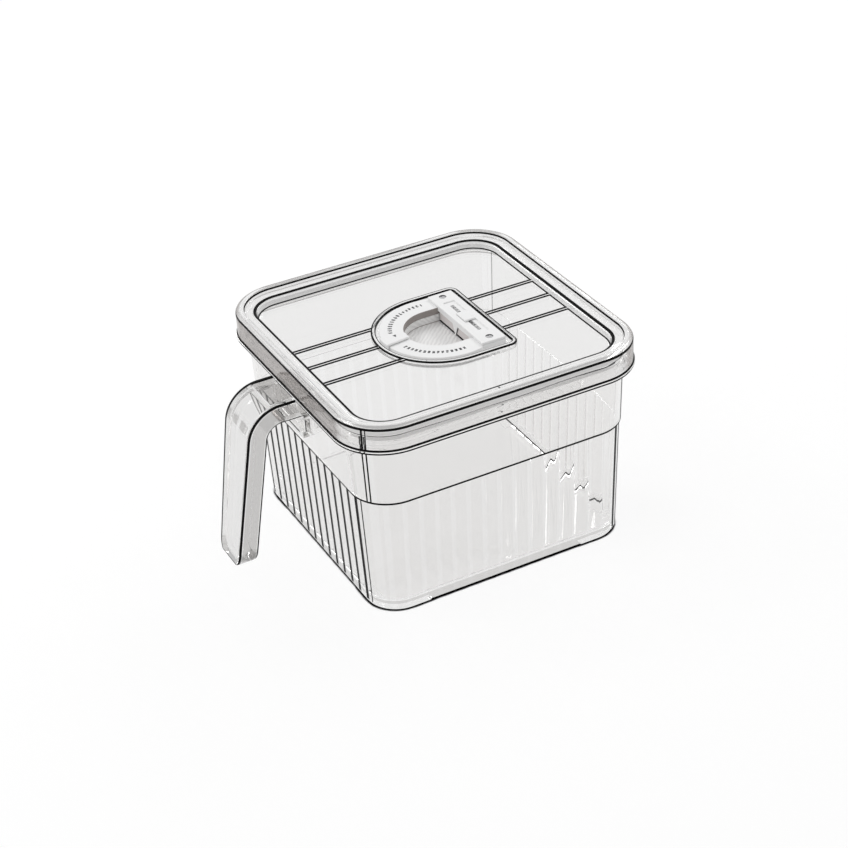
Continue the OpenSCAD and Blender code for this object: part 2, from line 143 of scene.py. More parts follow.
def smooth_step(tree, value, start, end, low=0, high=1):
    """A value that goes softly from low to high between a start and an end."""
    return result(tree, "MapRange", interpolation_type="SMOOTHSTEP", Value=value,
                  From_Min=start, From_Max=end, To_Min=low, To_Max=high)


def ray_level(tree, levels):
    """A value for each kind of ray, and the highest one where a ray is of two kinds."""
    path = add_node(tree, "LightPath").outputs
    highest = None
    for ray, level in levels.items():
        scaled = result(tree, "Math", path[ray], level, operation="MULTIPLY")
        if highest is not None:
            scaled = result(tree, "Math", highest, scaled, operation="MAXIMUM")
        highest = scaled
    return highest


print("node helpers ready")

# %% [markdown]
# The ground is a wide sheet of white paper, so one flat face is enough for it. Plain white paint
# would need so much light that the white dial washed out. So the paper glows a little for the
# camera and for rays that pass the plastic, and the rest of it is paint. Hardly any light gets in
# right under the base. An ambient occlusion node finds those spots and turns them black, which
# draws the line that the container stands on.

# %% Table
TABLE_HALF = 3.0  # metres
TABLE_MATTE = 0.32
TABLE_GLOW = {
    "Is Camera Ray": 0.7, "Is Glossy Ray": 0.6, "Is Transmission Ray": 0.58, "Is Diffuse Ray": 0.4,
}
CONTACT_REACH = 0.003  # metres that the dark under a piece reaches
CONTACT_FULL, CONTACT_NONE = 0.52, 0.66  # how open a spot is where the dark is full, and where it ends


def contact_share(tree):
    """One where the table lies right under something, for what the camera sees without plastic."""
    openness = add_node(tree, "AmbientOcclusion", Distance=CONTACT_REACH).outputs["AO"]
    dark = smooth_step(tree, openness, CONTACT_FULL, CONTACT_NONE, 1, 0)
    seen = add_node(tree, "LightPath").outputs["Is Camera Ray"]
    return result(tree, "Math", dark, seen, operation="MULTIPLY")


def white_table():
    """A wide white table that keeps its shadows and still reads as a white background."""
    mesh = bpy.data.meshes.new("table")
    corners = [(x * TABLE_HALF, y * TABLE_HALF, 0) for x, y in ((-1, -1), (1, -1), (1, 1), (-1, 1))]
    mesh.from_pydata(corners, [], [(0, 1, 2, 3)])
    table = bpy.data.objects.new("table", mesh)
    material, tree, output = new_material("table_white")
    matte = result(tree, "BsdfDiffuse", Color=(TABLE_MATTE, TABLE_MATTE, TABLE_MATTE, 1))
    glow = result(tree, "Emission", Color=(1, 1, 1, 1), Strength=ray_level(tree, TABLE_GLOW))
    both = result(tree, "AddShader", matte, glow)
    dark = result(tree, "BsdfDiffuse", Color=(0, 0, 0, 1))
    touched = result(tree, "MixShader", contact_share(tree), both, dark)
    tree.links.new(touched, output.inputs["Surface"])
    mesh.materials.append(material)
    scene.collection.objects.link(table)
    return table


print("staged:", white_table().name)

# %% [markdown]
# The room could be a picture of a real studio, but three plain backgrounds say all that clear
# plastic needs. Surfaces get even light. What the plastic mirrors or bends is white at the horizon
# and darker overhead, so its curved edges pick up some grey. The camera itself sees white. Two
# softboxes add soft highlights and the shadow.

# %% World and lamps
WORLD_LIGHT = 0.85
DARK_ABOVE = 0.6
FLAG_LOW, FLAG_HIGH = 0.62, 0.9  # sine of the height over the horizon where the dark begins and is full
LAMP_AIM = (0, 0, 0.05)  # metres


def studio_world():
    """Even light for the surfaces, white at the horizon, dark overhead for what the plastic mirrors."""
    world = bpy.data.worlds.new("studio")
    scene.world = world
    world.use_nodes = True
    tree = world.node_tree
    tree.nodes.clear()
    output = tree.nodes.new("ShaderNodeOutputWorld")
    path = add_node(tree, "LightPath").outputs
    where = add_node(tree, "TexCoord").outputs["Generated"]
    height = add_node(tree, "SeparateXYZ", where).outputs["Z"]
    level = smooth_step(tree, height, FLAG_LOW, FLAG_HIGH, 1, DARK_ABOVE)
    even = result(tree, "Background", Strength=WORLD_LIGHT)
    field = result(tree, "Background", Strength=level)
    white = result(tree, "Background", Color=(1, 1, 1, 1), Strength=1)
    mirrored = result(tree, "Math", path["Is Glossy Ray"], path["Is Transmission Ray"], operation="MAXIMUM")
    dark = result(tree, "MixShader", mirrored, even, field)
    seen = result(tree, "MixShader", path["Is Camera Ray"], dark, white)
    tree.links.new(seen, output.inputs["Surface"])


def softbox(name, place, size, power):
    """A soft rectangular lamp, placed in metres and aimed at the object."""
    lamp = bpy.data.lights.new(name, "AREA")
    lamp.shape = "RECTANGLE"
    lamp.size, lamp.size_y = size
    lamp.energy = power
    box = bpy.data.objects.new(name, lamp)
    box.location = place
    box.rotation_euler = (Vector(LAMP_AIM) - Vector(place)).to_track_quat("-Z", "Y").to_euler()
    scene.collection.objects.link(box)
    return box


studio_world()
softbox("key_softbox", place=(-0.7, -0.9, 1.3), size=(0.7, 0.5), power=6)
softbox("back_softbox", place=(-0.6, 1.1, 1.1), size=(0.8, 0.4), power=5)
scene.view_settings.view_transform = "Standard"
print("lamps:", [light.name for light in bpy.data.lights])

# %% [markdown]
# ## Shared finishes
# Three effects turn up in more than one material. Moulded plastic is never optically flat: it has
# a slow waviness from the flow of the melt. Everything that is handled carries a faint haze of
# scuffs. Pigmented plastic has a slight mottle. Each is a node group with its own inputs, built
# once and then placed in the materials with other values.

# %% Node groups
SCUFF_FROM, SCUFF_FULL = 0.45, 0.8  # level of the noise where scuffs begin, and where they are full


def new_group(name, inputs, outputs):
    """A shader node group with named float inputs and typed outputs."""
    group = bpy.data.node_groups.new(name, "ShaderNodeTree")
    for label, value in inputs.items():
        socket = group.interface.new_socket(label, in_out="INPUT", socket_type="NodeSocketFloat")
        socket.default_value = value
    for label, kind in outputs.items():
        group.interface.new_socket(label, in_out="OUTPUT", socket_type="NodeSocket" + kind)
    return group, group.nodes.new("NodeGroupInput").outputs, group.nodes.new("NodeGroupOutput").inputs


def noise(group, place, scale, **values):
    """A noise at a place, as a value."""
    return add_node(group, "TexNoise", Vector=place, Scale=scale, **values).outputs["Fac"]


def flow_waves():
    """Slow waviness of a moulded face, as a height."""
    group, given, made = new_group(
        "flow_waves", {"Scale": 25.0, "Stretch": 0.4}, {"Height": "Float"})
    where = add_node(group, "TexCoord").outputs["Object"]
    pull = result(group, "CombineXYZ", X=1.0, Y=1.0, Z=given["Stretch"])
    squeezed = result(group, "Mapping", Vector=where, Scale=pull)
    wave = noise(group, squeezed, given["Scale"], Detail=1.0, Roughness=0.3)
    group.links.new(wave, made["Height"])
    return group


def handling_haze():
    """Faint scuffs and wipe marks, as a roughness between a clean and a worn value."""
    group, given, made = new_group(
        "handling_haze", {"Clean": 0.02, "Worn": 0.08, "Scale": 60.0}, {"Roughness": "Float"})
    where = add_node(group, "TexCoord").outputs["Object"]
    cloud = noise(group, where, given["Scale"], Detail=4.0, Roughness=0.6)
    rough = smooth_step(group, cloud, SCUFF_FROM, SCUFF_FULL, given["Clean"], given["Worn"])
    group.links.new(rough, made["Roughness"])
    return group


def pigment_mottle():
    """Slight unevenness of a pigment, as a mask, and the fine grain of the mould, as a height."""
    group, given, made = new_group(
        "pigment_mottle", {"Scale": 90.0, "Grain": 2500.0}, {"Mask": "Float", "Height": "Float"})
    where = add_node(group, "TexCoord").outputs["Object"]
    group.links.new(noise(group, where, given["Scale"], Detail=3.0), made["Mask"])
    group.links.new(noise(group, where, given["Grain"], Detail=2.0), made["Height"])
    return group


FLOW, HAZE, MOTTLE = flow_waves(), handling_haze(), pigment_mottle()


def place_group(tree, group, **values):
    """Puts a node group into a material with its own values, and gives its outputs."""
    node = tree.nodes.new("ShaderNodeGroup")
    node.node_tree = group
    for key, value in values.items():
        node.inputs[key].default_value = value
    return node.outputs


print("node groups:", [g.name for g in bpy.data.node_groups])

# %% [markdown]
# ## Clear plastic
# Polystyrene bends light a little more than glass. The shader lets the light of the lamps straight
# through, because a clear wall casts almost no shadow. Against a white field clear plastic is drawn
# by its edges: a rounded edge bends the light away and turns dark. Such an edge is narrower than a
# pixel here, so that dark is painted: every drawn edge is a narrow band of faces with a second,
# nearly black material, which is painted shade and no tint of the plastic. A third one is for the
# grooves of the reeds. It paints them dark as shade only where a wall is seen at a slant, so its
# tint follows the angle to the wall itself, which is the normal rounded to the nearest axis.

# %% Clear plastic nodes
SLANT_FROM, SLANT_TO = 0.45, 0.58  # one minus the cosine of the angle to the wall
DEEP_FROM, DEEP_TO = 0.35, 0.7  # the same for the angle where a deep tint begins and is full
CAUGHT_AFTER = 2.5  # times that a ray is thrown back inside
CAUGHT_TINT, CAUGHT_LIGHT = (0.93, 0.927, 0.924), (0.98, 0.98, 0.98)
PASSED_TINT = (0.97, 0.97, 0.97, 1)  # of the lamps' light behind a wall
# Nearly black, painted on edges and grooves as the shade of light that is bent away.
EDGE_SHADE_BLACK = (0.004, 0.004, 0.004, 1)
PLASTIC_IOR = 1.5


def slant_share(tree):
    """How far a wall is seen at a slant from outside, from 0 to 1."""
    shape = add_node(tree, "NewGeometry").outputs
    raised = result(tree, "VectorMath", shape["Normal"], (0.5, 0.5, 0.5), operation="ADD")
    whole = result(tree, "VectorMath", raised, operation="FLOOR")
    wall = result(tree, "VectorMath", whole, operation="NORMALIZE")
    angle = add_node(tree, "LayerWeight", Blend=0.5, Normal=wall).outputs["Facing"]
    slant = smooth_step(tree, angle, SLANT_FROM, SLANT_TO)
    front = result(tree, "Math", 1, shape["Backfacing"], operation="SUBTRACT")
    return result(tree, "Math", slant, front, operation="MULTIPLY")


def mixed_tint(tree, share, one, two):
    """A colour between two tints."""
    return result(tree, "MixRGB", Fac=share, Color1=(*one, 1), Color2=(*two, 1))


def glass_body(tree, tint, haze, waves, deep=None, inside=None, stretch=0.35):
    """The clear body itself: tint, worn roughness, wave height, and how far the waves are upright.

    A deep tint paints shade at grazing angles, and an inside tint is for rays that leave the plastic."""
    rough = place_group(tree, HAZE, Clean=0.0, Worn=haze, Scale=45.0)["Roughness"]
    wave = place_group(tree, FLOW, Scale=22.0, Stretch=stretch)["Height"]
    bump = result(tree, "Bump", Strength=1.0, Distance=waves, Height=wave)
    body = add_node(tree, "BsdfPrincipled", Base_Color=(*tint, 1), IOR=PLASTIC_IOR,
                    Transmission_Weight=1, Roughness=rough, Normal=bump)
    if inside:
        leaving = add_node(tree, "NewGeometry").outputs["Backfacing"]
        tree.links.new(mixed_tint(tree, leaving, tint, inside), body.inputs["Base Color"])
    if deep:
        angle = add_node(tree, "LayerWeight", Blend=0.5, Normal=bump).outputs["Facing"]
        grazing = smooth_step(tree, angle, DEEP_FROM, DEEP_TO)
        tree.links.new(mixed_tint(tree, grazing, tint, deep), body.inputs["Base Color"])
    return body.outputs[0]


def smoke_body(tree):
    """Painted shade for an edge that bends all light away: nearly black, with a faint sheen."""
    rough = place_group(tree, HAZE, Clean=0.25, Worn=0.4, Scale=90.0)["Roughness"]
    return result(tree, "BsdfPrincipled", Base_Color=EDGE_SHADE_BLACK, IOR=PLASTIC_IOR,
                  Specular_IOR_Level=0.05, Roughness=rough)


def let_light_pass(tree, output, surface, caught_tint=CAUGHT_TINT):
    """Shows a surface to what is seen, and lets the light of the lamps pass it.

    A ray that was thrown back inside the plastic a few times leaves it too, as it does in the end."""
    lit = ray_level(tree, {"Is Shadow Ray": 1, "Is Diffuse Ray": 1})
    thrown_back = add_node(tree, "LightPath").outputs["Glossy Depth"]
    caught = result(tree, "Math", thrown_back, CAUGHT_AFTER, operation="GREATER_THAN")
    dimmed = result(tree, "BsdfTransparent", Color=(*caught_tint, 1))
    freed = result(tree, "MixShader", caught, surface, dimmed)
    passed = result(tree, "BsdfTransparent", Color=PASSED_TINT)
    tree.links.new(result(tree, "MixShader", lit, freed, passed), output.inputs["Surface"])


print("a ray leaves the plastic after", math.ceil(CAUGHT_AFTER), "reflections")

# %% [markdown]
# The clear pieces differ in thickness and polish, so each has its own tint, haze and waves in one
# shared recipe. The skirt of the lid gets a darker tint, and a deeper one at grazing angles, which
# paint shade on it. The sides of the handle aren't polished, and a dark tint paints shade on them
# and in the thumb pocket.

# %% Clear plastic materials
def clear_plastic(name, tint, haze, waves, caught_tint=CAUGHT_TINT, **more):
    """Moulded clear plastic."""
    material, tree, output = new_material(name)
    let_light_pass(tree, output, glass_body(tree, tint, haze, waves, **more), caught_tint)
    return material


def reed_plastic(name, tint, haze, waves):
    """Clear plastic in the grooves, painted dark as shade where its wall is seen at a slant."""
    material, tree, output = new_material(name)
    clear = glass_body(tree, tint, haze, waves)
    let_light_pass(tree, output, result(tree, "MixShader", slant_share(tree), clear, smoke_body(tree)))
    return material


def edge_line(name, tint, haze, waves):
    """The drawn edges of clear pieces: painted dark as shade from outside, and clear from inside the
    plastic.
    """
    material, tree, output = new_material(name)
    within = add_node(tree, "NewGeometry").outputs["Backfacing"]
    clear = glass_body(tree, tint, haze, waves)
    let_light_pass(tree, output, result(tree, "MixShader", within, smoke_body(tree), clear))
    return material


BIN_TINT, REED_TINT = (0.94, 0.935, 0.93), (1.0, 1.0, 1.0)  # thinner at the grooves, so lighter
HANDLE_TINT, SIDE_SHADE_TINT = (0.85, 0.845, 0.84), (0.42, 0.41, 0.4)
# The skirt's tints are painted shade: darker than the lid, and nearly black at grazing angles.
LID_TINT, SKIRT_SHADE_TINT, SKIRT_GRAZING_SHADE = (0.995, 0.995, 0.995), (0.82, 0.81, 0.805), (0.16, 0.14, 0.13)
CLEAR_BODY = clear_plastic("clear_body", BIN_TINT, haze=0.02, waves=0.00004)
CLEAR_REED = reed_plastic("clear_reed", REED_TINT, haze=0.02, waves=0.00004)
CLEAR_HANDLE = clear_plastic("clear_handle", HANDLE_TINT, haze=0.03, waves=0.00006, caught_tint=CAUGHT_LIGHT)
# Unpolished haze, with a dark tint that paints shade on the handle's sides and in its pocket.
HAZY_SHADED_HANDLE = clear_plastic(
    "hazy_shaded_handle", SIDE_SHADE_TINT, haze=0.2, waves=0.0002, caught_tint=CAUGHT_LIGHT, inside=HANDLE_TINT)
CLEAR_LID = clear_plastic("clear_lid", LID_TINT, haze=0.02, waves=0.00003)
CLEAR_SHADED_SKIRT = clear_plastic(
    "clear_shaded_skirt", SKIRT_SHADE_TINT, haze=0.08, waves=0.0006, deep=SKIRT_GRAZING_SHADE, stretch=12.0)
# The drawn edges are painted dark as shade.
EDGE = edge_line("clear_painted_dark_edge", BIN_TINT, haze=0.02, waves=0.00004)
print("clear plastics:", [m.name for m in bpy.data.materials if "clear" in m.name or "hazy" in m.name])

# %% [markdown]
# ## Opaque finishes
# The dial is white plastic with a satin face, the finger cup is frosted by a textured mould, the
# seal is soft milky silicone, and the screws are small turned steel ones. The print is matte ink.

# %% Opaque materials
def satin_plastic(name, light, dark, clean, worn, grain):
    """Pigmented plastic: two close colours in a mottle, a worn sheen and a fine mould grain."""
    material, tree, output = new_material(name)
    mottle = place_group(tree, MOTTLE, Scale=140.0, Grain=2600.0)
    rough = place_group(tree, HAZE, Clean=clean, Worn=worn, Scale=120.0)["Roughness"]
    bump = result(tree, "Bump", Strength=0.4, Distance=grain, Height=mottle["Height"])
    colour = mixed_tint(tree, mottle["Mask"], light, dark)
    body = result(tree, "BsdfPrincipled", Base_Color=colour, IOR=PLASTIC_IOR, Roughness=rough, Normal=bump)
    tree.links.new(body, output.inputs["Surface"])
    return material


def hatched_plastic(name, light, dark):
    """Frosted plastic with the slanting hatch of a textured mould."""
    material, tree, output = new_material(name)
    where = add_node(tree, "TexCoord").outputs["Object"]
    hatch = add_node(tree, "TexWave", bands_direction="DIAGONAL", Vector=where, Scale=240.0,
                     Distortion=3.0, Detail=2.0).outputs["Fac"]
    rough = place_group(tree, HAZE, Clean=0.5, Worn=0.65, Scale=120.0)["Roughness"]
    bump = result(tree, "Bump", Strength=0.5, Distance=0.0002, Height=hatch)
    colour = mixed_tint(tree, hatch, light, dark)
    body = result(tree, "BsdfPrincipled", Base_Color=colour, IOR=PLASTIC_IOR, Roughness=rough, Normal=bump)
    tree.links.new(body, output.inputs["Surface"])
    return material


def turned_steel(name, colour):
    """Small steel screws: bright metal with fine turning marks."""
    material, tree, output = new_material(name)
    rough = place_group(tree, HAZE, Clean=0.25, Worn=0.45, Scale=400.0)["Roughness"]
    body = result(tree, "BsdfPrincipled", Base_Color=(*colour, 1), Metallic=1.0, Roughness=rough)
    tree.links.new(body, output.inputs["Surface"])
    return material


DIAL_WHITE = satin_plastic("dial_white", (0.93, 0.93, 0.93), (0.89, 0.89, 0.89), 0.35, 0.5, 0.00002)
RUNNER = satin_plastic("runner", (0.8, 0.8, 0.81), (0.74, 0.74, 0.75), 0.4, 0.55, 0.00003)
SEAL = satin_plastic("seal", (0.95, 0.945, 0.94), (0.92, 0.915, 0.91), 0.45, 0.6, 0.00003)
# Grey painted as shade on the dial's inner wall and along the foot of the cup's wall.
PAINTED_SHADE_GREY = satin_plastic("painted_shade_grey", (0.34, 0.31, 0.29), (0.28, 0.25, 0.24), 0.4, 0.55, 0.00002)
APRON_SHADE_GREY = satin_plastic("apron_painted_shade", (0.74, 0.7, 0.69), (0.68, 0.64, 0.63), 0.4, 0.55, 0.00002)
# Black ink for the print, also painted as shade under the bar, round the post and in the screw holes.
INK_AND_SHADE = satin_plastic("dial_ink_and_shade", (0.03, 0.03, 0.035), (0.05, 0.05, 0.055), 0.5, 0.7, 0.00001)
FROSTED = hatched_plastic("frosted_cup", (0.93, 0.925, 0.92), (0.8, 0.795, 0.79))
STEEL = turned_steel("screws", (0.62, 0.62, 0.63))
print("materials:", [m.name for m in bpy.data.materials])

# %% [markdown]
# ## Mesh tools
# Most of the pieces follow a square with round corners, so they are lofted: one ring of points for
# each step of a section, and quads between the rings. Plates are prisms with a bevel. Where two
# volumes are moulded as one, a boolean joins them.

# %% Mesh helpers
MARKS = 3  # 0 is a plain face, 1 a drawn edge, and 2 the third finish of a piece


def new_piece(name, points, faces, marks):
    """A mesh object from points in millimetres, with a mark on each face for its material."""
    mesh = bpy.data.meshes.new(name)
    mesh.from_pydata((np.asarray(points, float) * MM).tolist(), [], faces)
    for _ in range(MARKS):
        mesh.materials.append(None)
    mesh.polygons.foreach_set("material_index", np.asarray(marks, dtype=np.int32))
    net = bmesh.new()
    net.from_mesh(mesh)
    bmesh.ops.recalc_face_normals(net, faces=net.faces)
    net.to_mesh(mesh)
    net.free()
    piece = bpy.data.objects.new(name, mesh)
    scene.collection.objects.link(piece)
    return piece


def loft(name, rings, lines=(), endless=False):
    """A skin over rings of equal count, with a flat face on the first and the last unless it is endless.

    Lines holds the marks of the faces between one ring and the next: one for all, or one for each."""
    count = len(rings[0])
    caps = [] if endless else [list(range(count)), [len(rings) * count - 1 - i for i in range(count)]]
    spans = len(rings) if endless else len(rings) - 1
    sides = []
    for k in range(spans):
        here, there = k * count, (k + 1) % len(rings) * count
        for i in range(count):
            j = (i + 1) % count
            sides.append((here + i, here + j, there + j, there + i))
    marks = np.zeros((spans, count), int)
    for k, line in enumerate(lines):
        marks[k] = line
    marks = np.r_[np.zeros(len(caps), int), marks.ravel()]
    return new_piece(name, np.concatenate(rings), caps + sides, marks)


def at_height(outline, height):
    """An outline seen from above, as a ring at a height."""
    return np.c_[outline, np.full(len(outline), height)]


def prism(name, outline, low, high, sides=0):
    """An outline seen from above, made solid between two heights, with marks for its sides."""
    return loft(name, [at_height(outline, low), at_height(outline, high)], [sides])


def long_bar(name, section, start, end, sides=0):
    """A section (x, z) made solid between two places along y, with marks for its sides."""
    rings = [np.c_[section[:, 0], np.full(len(section), y), section[:, 1]] for y in (start, end)]
    return loft(name, rings, [sides])


print("mesh helpers ready, with", MARKS, "marks")

# %% [markdown]
# Booleans and bevels are modifiers in Blender, so each is settled into the mesh before the next.
# A piece is dressed last: it gets its materials by the marks on its faces, smooth shading that
# keeps sharp edges, the body that it rides on, and the node that it stands for.

# %% Joining, rounding and dressing
SHARP_DEG = 35  # between two faces, from where an edge is shown sharp


def paint(piece, mark):
    """Gives all the faces of a piece one mark."""
    piece.data.polygons.foreach_set("material_index", [mark] * len(piece.data.polygons))
    return piece


def settle(piece):
    """Turns what the modifiers show into the piece's own mesh."""
    bpy.context.view_layer.update()
    shown = piece.evaluated_get(bpy.context.evaluated_depsgraph_get())
    mesh = bpy.data.meshes.new_from_object(shown)
    piece.modifiers.clear()
    piece.data = mesh
    return piece


def combine(piece, tool, operation):
    """Joins, cuts or crosses a piece with a tool, and uses the tool up."""
    step = piece.modifiers.new(operation, "BOOLEAN")
    step.operation, step.solver, step.object = operation, "MANIFOLD", tool
    settle(piece)
    bpy.data.objects.remove(tool)
    return piece


def soften(piece, width, steps=3, angle=40, mark=-1):
    """Rounds the sharp edges of a piece, by a width in millimetres, with a mark of their own or none."""
    bevel = piece.modifiers.new("soft_edges", "BEVEL")
    bevel.width, bevel.segments = width * MM, steps
    bevel.limit_method, bevel.angle_limit = "ANGLE", math.radians(angle)
    bevel.material = mark
    return settle(piece)


def dress(piece, materials, body, slot, *nodes):
    """Finishes a piece: smooth shading, its materials, its body and what it stands for. The slot is not
    used.
    """
    mesh = piece.data
    marks = np.zeros(len(mesh.polygons), dtype=np.int32)
    mesh.polygons.foreach_get("material_index", marks)
    mesh.materials.clear()
    for material in materials:
        mesh.materials.append(material)
    mesh.polygons.foreach_set("material_index", np.minimum(marks, len(materials) - 1))
    mesh.polygons.foreach_set("use_smooth", [True] * len(mesh.polygons))
    mesh.set_sharp_from_angle(angle=math.radians(SHARP_DEG))
    weighted = piece.modifiers.new("even_faces", "WEIGHTED_NORMAL")
    weighted.keep_sharp = True
    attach(piece, body)
    if nodes:
        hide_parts(*nodes)
    print(piece.name, "faces with each mark:", np.bincount(marks).tolist())
    return piece


print("edges stay sharp from", SHARP_DEG, "degrees")

# %% [markdown]
# A moulded section has a radius of its own at every corner, which one bevel for the whole piece
# can't give. So a section is written as corners with radii, and this helper turns them into arcs.
# It also marks the stretches that get a drawn edge.

# %% Arcs and rounded sections
def arc(centre, radius, start, end, steps):
    """Points of an arc in a plane, angles in degrees."""
    turn = np.radians(np.linspace(start, end, steps + 1))
    return np.c_[centre[0] + radius * np.cos(turn), centre[1] + radius * np.sin(turn)]


def rounded(corners, steps=5):
    """A path through corners (x, y, radius) with round corners, and a mark for each stretch of it.

    Two more values give a corner a drawn edge: how far it reaches before and after the arc, in
    millimetres. A negative one leaves out that share of the arc."""
    path, lines = [np.array(corners[0][:2], float)], []
    for before, corner, after in zip(corners, corners[1:], corners[2:]):
        here, radius = np.array(corner[:2], float), corner[2]
        one, two = np.array(before[:2]) - here, np.array(after[:2]) - here
        one, two = one / np.linalg.norm(one), two / np.linalg.norm(two)
        points = [here]
        if radius:
            half = math.acos(np.clip(one @ two, -1, 1)) / 2
            reach = radius / math.tan(half)
            middle = here + (one + two) / np.linalg.norm(one + two) * radius / math.sin(half)
            first, last = here + one * reach - middle, here + two * reach - middle
            sweep = math.pi - 2 * half
            shares = np.linspace(0, 1, steps + 1)
            points = [
                middle + (math.sin((1 - s) * sweep) * first + math.sin(s * sweep) * last) / math.sin(sweep)
                for s in shares
            ]
        marks = [0] * (len(points) - 1)
        if len(corner) > 3:
            lead, tail = corner[3:]
            start, end = round(-min(lead, 0) * steps), steps - round(-min(tail, 0) * steps)
            marks = [1 if start <= k < end else 0 for k in range(len(marks))]
            if lead > 0:
                points, marks = [points[0] + one * lead] + points, [1] + marks
            if tail > 0:
                points, marks = points + [points[-1] + two * tail], marks + [1]
        path += points
        lines += [0] + marks
    path.append(np.array(corners[-1][:2], float))
    return np.array(path), lines + [0]


print("a rounded corner has", len(rounded([(0, 0, 0), (9, 0, 1), (9, 9, 0)])[0]) - 2, "points")

# %% [markdown]
# ## The bin
# The bin is one lofted skin. A section runs from the middle of the base, over the corner feet and
# up the outside, across the rim and down the inside. Each point of that section becomes a ring
# round the square. On the lower wall the rings dip into the grooves between the reeds, so the
# reeds are real relief that bends light, and the step above them hangs over as it does on the
# moulding.

# %% Perimeter of the square
CORNER_C = 52.0  # from the middle of the square to the centre of every round corner
REED_PITCH, REED_DEPTH, REED_FLAT, REED_COUNT = 8.3, 0.26, 2.0, 13
SAMPLES_PER_REED = 20
CORNER_NEAR, CORNER_MIDDLE = 12, 56  # samples at the ends of a corner and in between
CORNER_ARC = 18.4  # radius along which the grooves run on round the corner


def groove_depth(run):
    """Depth of the grooves at a distance along a side, from its middle."""
    mouth = (REED_PITCH - REED_FLAT) / 2
    round_r = (mouth**2 + REED_DEPTH**2) / (2 * REED_DEPTH)
    depth = np.zeros_like(run)
    for i in range(REED_COUNT + 1):
        near = np.abs(run - (i - REED_COUNT / 2) * REED_PITCH)
        inside = near < mouth
        depth[inside] = round_r - np.sqrt(round_r**2 - (mouth - near[inside]) ** 2)
    return depth


def square_perimeter():
    """For each sample round the square: where it starts, its direction, and its way along the side."""
    step = REED_PITCH / SAMPLES_PER_REED
    last = int(CORNER_C / step)
    side = np.r_[-CORNER_C, np.arange(-last, last + 1) * step, CORNER_C]
    near = np.arange(last + 1, last + CORNER_NEAR) * step - CORNER_C
    whole = CORNER_ARC * math.pi / 2
    bend = np.r_[near, np.linspace(near[-1], whole - near[-1], CORNER_MIDDLE)[1:-1], whole - near[::-1]]
    turn = bend / CORNER_ARC
    base = np.r_[np.c_[np.full(len(side), CORNER_C), side], np.full((len(bend), 2), CORNER_C)]
    out = np.r_[np.tile((1.0, 0.0), (len(side), 1)), np.c_[np.cos(turn), np.sin(turn)]]
    run = np.r_[np.abs(side), CORNER_C + np.minimum(bend, whole - bend)]
    quarters = [np.linalg.matrix_power(np.array(((0, -1), (1, 0))), k) for k in range(4)]
    return (
        np.concatenate([base @ q.T for q in quarters]),
        np.concatenate([out @ q.T for q in quarters]),
        np.tile(run, 4),
    )


def each_face(values):
    """Values at the samples, taken to the faces between them."""
    return (values + np.roll(values, -1, axis=0)) / 2


BASE_POINT, OUTWARD, RUN = square_perimeter()
GROOVE = groove_depth(RUN)
FROM_GROOVE = np.abs(each_face(RUN) / REED_PITCH % 1 - 0.5) * REED_PITCH
FROM_GROOVE[each_face(GROOVE) == 0] = REED_PITCH
ALL = np.full(len(RUN), True)
SMOOTH = (RUN >= CORNER_C) | (np.arange(len(RUN)) % SAMPLES_PER_REED == 0)  # enough where no reeds are


def upright_lines(*turns, half=1.0, kept=ALL):
    """Marks for upright lines on the round corners, at turns from the handle's side, in degrees."""
    face_turn = np.degrees(np.arccos(np.clip(np.abs(each_face(OUTWARD[kept, 1])), 0, 1)))
    return np.where(np.min([np.abs(face_turn - t) for t in turns], axis=0) < half, 1, 0)


def square_ring(half, height, kept=ALL):
    """A ring round the square, at a half width and a height that may change along it."""
    half = np.broadcast_to(half, len(GROOVE))
    height = np.broadcast_to(height, len(GROOVE))
    return np.c_[BASE_POINT + OUTWARD * (half - CORNER_C)[:, None], height][kept]


print("samples round the square:", len(GROOVE), "and on smooth pieces:", SMOOTH.sum())

# %% [markdown]
# The section of the bin is a list of corners, each with a radius, so the rim, the step and the
# round edge of the floor come from one helper. Marks on the faces say where a dark line is painted
# as shade: on the rim, under the step, in the grooves, and upright where a round corner turns out
# of sight.

# %% Bin
BIN_HALF, STEP_H, STEP_IN = 71.8, 62.8, 0.7  # half width at the step line
BIN_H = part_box("container_bin")[1].z / MM
LEAN = math.tan(math.radians(2.1))
WALL, FLOOR_TOP, FOOT_H = 2.2, 3.8, 1.3
BASE_R, INSIDE_R, RIM_R = 1.0, 3.8, 0.8
FOOT_W, FOOT_FROM, FOOT_BLEND = 6.0, 41.8, 0.8
FOOT_PROFILE = (  # in from the edge of the base, and share of the way down
    (FOOT_W, 0), (FOOT_W - 0.2, 0.75), (FOOT_W - 0.6, 1), (0.5, 1), (0.12, 0.8), (0.02, 0.3),
)
CAP_HALF = CORNER_C + 0.5  # the flat faces in the middle begin here
# Over this half width a groove is painted dark as shade where its wall is seen at a slant.
STROKE_HALF = 1.1  # of the dark part of a groove
LOW_TURN, MIDDLE_TURN, MIDDLE_SPREAD = 18, 57, 5  # degrees from the handle's side, of lines on a corner
RIM_TURN, RIM_SPREAD = 39, 7.5  # where a corner ends for a slanting look
BAND_TURNS, INSIDE_TURN = (32, 38), 28  # on the plain band, outside and inside
LONG_STRETCH = 10  # a stretch of the section longer than this is a wall
ON_END = 0.98  # how far a face looks along the handle's axis to be on an end wall


def upper_half(height):
    """Half width of the plain band over the step."""
    return BIN_HALF + (height - STEP_H) * LEAN


def lower_half(height):
    """Half width over the tops of the reeds."""
    return upper_half(height) - STEP_IN


def inner_half(height):
    """Half width inside."""
    return lower_half(height) - WALL + STEP_IN * (height - FLOOR_TOP) / (BIN_H - FLOOR_TOP)


